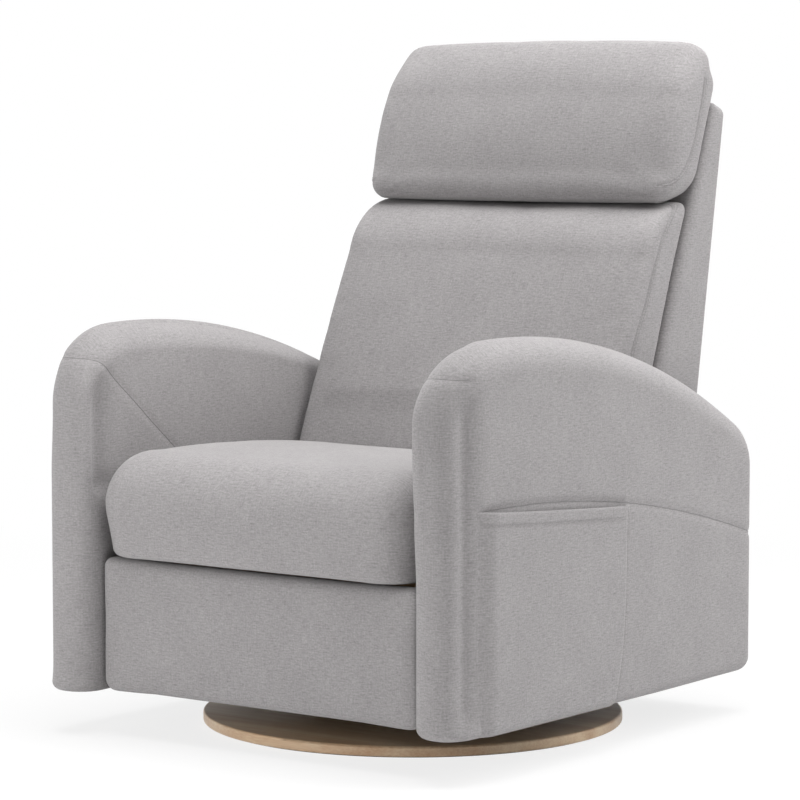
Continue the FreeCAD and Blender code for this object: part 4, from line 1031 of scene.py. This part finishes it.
def even_seam(spots):
    """A seam's places across and along the lean, at an even step."""
    line = even_path([(0, across, along) for across, along in spots], 0.006)
    return line[:, 1:]


PILLOW_HALF, HEAD_HALF = arm_low.x - 0.0035, 0.279
PILLOW_GAP, ON_SHELL, BACK_FRONT = 0.0003, -0.0005, -0.1045


def back_limits(flat):
    """Flat on the shell and under the headrest, and not blown up where the seat is."""
    along = flat[:, 2] - np.maximum(above_meeting(flat) + PILLOW_GAP, 0)
    front = np.maximum(flat[:, 1], BACK_FRONT - 0.006 * ease(along, 0.10, 0.08))
    side = np.clip(flat[:, 0], -PILLOW_HALF, PILLOW_HALF)
    return np.stack([side, np.minimum(front, ON_SHELL), along], axis=1)


def head_limits(flat):
    """Flat on the shell and on the back cushion."""
    along = flat[:, 2] + np.maximum(PILLOW_GAP - above_meeting(flat), 0)
    side = np.clip(flat[:, 0], -HEAD_HALF - 0.0025, HEAD_HALF + 0.0025)
    return np.stack([side, np.minimum(flat[:, 1], ON_SHELL), along], axis=1)


BACK_VIEW = bent_outline(
    [(0.2, -0.0109), (ON_SHELL, -0.0109), (-0.0590, -0.0332)],
    [((-0.0899, -0.0310), (BACK_FRONT, -0.0024), 9), ((-0.1019, 0.1815), (-0.0869, 0.3656), 16),
     ((-0.0746, 0.4232), (-0.0390, 0.4646), 9)],
    [(ON_SHELL, 0.4866), (0.2, 0.60)])
back_pillow("back_cushion", "back_cushion_cover", BACK_VIEW, PILLOW_HALF,
            lambda along: 0.017, lambda along: 0.0015,
            lambda laid, flat: laid, back_limits,
            even_seam([(-0.076, -0.015), (-0.076, 0.10), (-0.072, 0.248), (-0.064, 0.300), (-0.062, 0.354),
                       (-0.057, 0.402), (-0.047, 0.435), (-0.036, 0.457), (-0.027, 0.468)]))

HEAD_VIEW = bent_outline(
    [(0.2, 0.30), (-0.0800, 0.30), (-0.0800, 0.4994)],
    [((-0.0872, 0.5577), (-0.0863, 0.6169), 9), ((-0.0791, 0.6760), (-0.0545, 0.7255), 9),
     ((-0.0216, 0.7220), (ON_SHELL, 0.7000), 9)],
    [(0.2, 0.62)])
back_pillow("headrest", "headrest_cover", HEAD_VIEW, HEAD_HALF,
            lambda along: 0.030 + 0.012 * ease(along, 0.59, 0.11),
            lambda along: 0.004 + 0.005 * ease(along, 0.62, 0.07),
            lambda laid, flat: rounded_both(laid, PILLOW_GAP - above_meeting(flat), 0.040), head_limits,
            even_seam([(-0.070, 0.482), (-0.062, 0.487), (-0.046, 0.508), (-0.037, 0.530), (-0.032, 0.567),
                       (-0.0335, 0.613), (-0.035, 0.640), (-0.0375, 0.661)]))

# Skirt below the shell, bent round the back's pivot, with its top edge tucked into the shell
skirt_low, skirt_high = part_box("back_skirt")
PIVOT_Y, PIVOT_Z = 0.165, 0.285
SKIRT_RADIUS, SKIRT_CLOTH = 0.143, 0.006
SKIRT_TOP, SKIRT_BOTTOM = math.radians(7.6), math.radians(-38.1)
SKIRT_COLUMNS, SKIRT_ROWS = 60, 22


def skirt_layer(radius):
    x, turn = np.meshgrid(np.linspace(skirt_low.x, skirt_high.x, SKIRT_COLUMNS),
                          np.linspace(SKIRT_TOP, SKIRT_BOTTOM, SKIRT_ROWS))
    spots = np.stack([x, PIVOT_Y + radius * np.cos(turn), PIVOT_Z + radius * np.sin(turn)], axis=2)
    return spots.reshape(-1, 3)


skirt = two_layers("back_skirt_cover", skirt_layer(SKIRT_RADIUS), skirt_layer(SKIRT_RADIUS - SKIRT_CLOTH),
                   grid_faces(SKIRT_COLUMNS, SKIRT_ROWS))
soft_edge = skirt.modifiers.new("soft edge", "BEVEL")
soft_edge.width = 0.002
soft_edge.segments = 3
soft_edge.angle_limit = math.radians(60)
settle(skirt)
dress(skirt, "back", heather, "back_skirt")

# Panel behind the seat
panel_low, panel_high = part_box("rear_panel")
PANEL_CROWN = 0.004
PANEL_VIEW = panel_view(panel_high.x, panel_low, panel_high, [0.008] * 4)


def panel_distance(spots):
    crown = panel_crown(spots, panel_high.x, panel_low, panel_high, PANEL_CROWN)
    view = outline_distance(spots[:, [0, 2]], PANEL_VIEW)
    rear = rounded_both(view, spots[:, 1] - panel_high.y - crown, 0.009)
    return rounded_both(rear, panel_low.y - spots[:, 1], 0.002)


panel = prism("rear_panel_cover", PANEL_VIEW, panel_high.y, panel_low.y, lambda u, v, d: (u, d, v))
drawn_form(panel, panel_distance, voxel=0.006)
upholster(panel, "chair", "rear_panel")

# Dust covers under the seat, stapled along their edges
DUST_COLUMNS, DUST_ROWS, DUST_SAG, DUST_CLOTH = 56, 12, 0.0012, 0.0006
staple_paths = []
for place_name in ("front", "rear"):
    low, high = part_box("dust_cover_" + place_name)
    u, v = np.meshgrid(np.linspace(0, 1, DUST_COLUMNS), np.linspace(0, 1, DUST_ROWS))
    z = low.z + 0.0013 - DUST_SAG * np.sin(math.pi * u) * np.sin(math.pi * v)
    spots = np.stack([low.x + u * (high.x - low.x), low.y + v * (high.y - low.y), z], axis=2).reshape(-1, 3)
    cover = new_piece("dust_sheet_" + place_name, spots, grid_faces(DUST_COLUMNS, DUST_ROWS))
    cover = thicken(cover, DUST_CLOTH)
    dress(cover, "chair", lining, "dust_cover_" + place_name)
    for y in (low.y + 0.010, high.y - 0.010):
        row = [(x, y, low.z + 0.0012) for x in np.linspace(low.x + 0.02, high.x - 0.02, 60)]
        staple_paths.append(np.array(row))

# Dark cords of painted seam shade, pillow seam folds, stitches, staples and springs grown along their lines
# and places
STITCH_TREE, SEAM_TREE, COIL_TREE = make_stitch_row(), make_seam_cord(), make_coils()


def sewn_rows(name, paths, tree, body, slot="fabric", **values):
    """One object with what grows along lines, on the body that carries it."""
    carry(grow(path_piece(name, paths), tree, **values), body)


for body in ("chair", "back"):
    # Seam cords in darker cloth: painted shade of the seam crevices.
    sewn_rows("seam_shade_cords_" + body, seam_paths[body], SEAM_TREE, body, thickness=0.0008, material=seam_shade_cloth)
    sewn_rows("stitches_" + body, stitch_paths[body], STITCH_TREE, body, pitch=0.0048, length=0.0036,
              thickness=0.0010, material=thread)
sewn_rows("pillow_seam_folds", fold_paths, SEAM_TREE, "back", thickness=0.0040, material=heather)
sewn_rows("dust_cover_staples", staple_paths, STITCH_TREE, "chair", "bright_steel", pitch=0.045, length=0.010,
          thickness=0.0011, material=zinc)

spring_low, spring_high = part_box("rocker_springs")
WIRE, COIL_RADIUS, COIL_TURNS = 0.004, 0.014, 5.0
reach_x, reach_y = spring_high.x - COIL_RADIUS - WIRE / 2, spring_high.y - COIL_RADIUS - WIRE / 2
stand = spring_low.z + WIRE / 2
coils = new_piece("rocker_coils", [(sx * reach_x, sy * reach_y, stand) for sx in (1, -1) for sy in (1, -1)])
grow(coils, COIL_TREE, turns=COIL_TURNS, radius=COIL_RADIUS, height=spring_high.z - spring_low.z - WIRE,
     wire=WIRE, material=zinc)
smooth(coils)
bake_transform(coils)
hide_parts("rocker_springs")

# Camera at the photograph's place
camera = bpy.data.objects.new("camera", bpy.data.cameras.new("camera"))
scene.collection.objects.link(camera)
camera.data.sensor_width = 36.0
camera.data.lens = 150.98
camera.data.clip_end = 60.0
camera.location = (2.8669, -3.8954, 0.8797)
camera.rotation_euler = Vector((-0.5937, 0.8002, -0.0851)).to_track_quat("-Z", "Y").to_euler()
scene.camera = camera


# Soft studio light, a pale floor and a white room
def lamp(name, spot, aim, width, height, power):
    light = bpy.data.lights.new(name, "AREA")
    light.shape = "RECTANGLE"
    light.size = width
    light.size_y = height
    light.energy = power
    holder = bpy.data.objects.new(name, light)
    holder.visible_camera = False
    scene.collection.objects.link(holder)
    holder.location = spot
    holder.rotation_euler = (Vector(aim) - Vector(spot)).to_track_quat("-Z", "Y").to_euler()


lamp("overhead", (0.2, -0.1, 3.4), (0, 0, 0.4), 3.0, 3.0, 146)
lamp("right_side", (2.3, 1.1, 2.4), (0, 0, 0.55), 2.4, 2.4, 76)
lamp("left_side", (-3.4, -0.6, 1.6), (-0.1, 0, 0.45), 2.4, 2.4, 30)
lamp("near_front", (-0.35, -1.6, 0.40), (-0.15, -0.38, 0.25), 0.9, 0.5, 7.6)


def seen_rays(tree):
    """Rays to which the surroundings are white: straight from the camera, mirrored or let through."""
    path = place(tree, "ShaderNodeLightPath").outputs
    seen = calc(tree, "MAXIMUM", path["Is Camera Ray"], path["Is Glossy Ray"])
    return calc(tree, "MAXIMUM", seen, path["Is Transmission Ray"])


room = bpy.data.worlds.new("room")
scene.world = room
room.use_nodes = True
tree = room.node_tree
tree.nodes.clear()
dim = place(tree, "ShaderNodeBackground", {"Color": (1.0, 0.995, 0.99, 1.0), "Strength": 0.12})
white = place(tree, "ShaderNodeBackground", {"Color": (1.0, 1.0, 1.0, 1.0), "Strength": 1.0})
both = place(tree, "ShaderNodeMixShader", {0: seen_rays(tree), 1: dim.outputs[0], 2: white.outputs[0]})
place(tree, "ShaderNodeOutputWorld", {"Surface": both.outputs[0]})

floor = new_piece("floor", [(-30, -30, 0), (30, -30, 0), (30, 30, 0), (-30, 30, 0)], [(0, 1, 2, 3)])
pale = bpy.data.materials.new("pale_floor")
pale.use_nodes = True
tree = pale.node_tree
tree.nodes.clear()
matte = place(tree, "ShaderNodeBsdfDiffuse", {"Color": (0.86, 0.86, 0.86, 1.0)})
glow = place(tree, "ShaderNodeEmission", {"Color": (1.0, 1.0, 1.0, 1.0), "Strength": 1.0})
spot = place(tree, "ShaderNodeTexCoord").outputs["Object"]
far = place(tree, "ShaderNodeVectorMath", {0: spot}, operation="LENGTH").outputs["Value"]
share = calc(tree, "MULTIPLY", seen_rays(tree), spread(tree, far, 0.5, 2.4, 0.80, 1.0))
both = place(tree, "ShaderNodeMixShader", {0: share, 1: matte.outputs[0], 2: glow.outputs[0]})
place(tree, "ShaderNodeOutputMaterial", {"Surface": both.outputs[0]})
floor.data.materials.append(pale)

scene.view_settings.view_transform = "Standard"
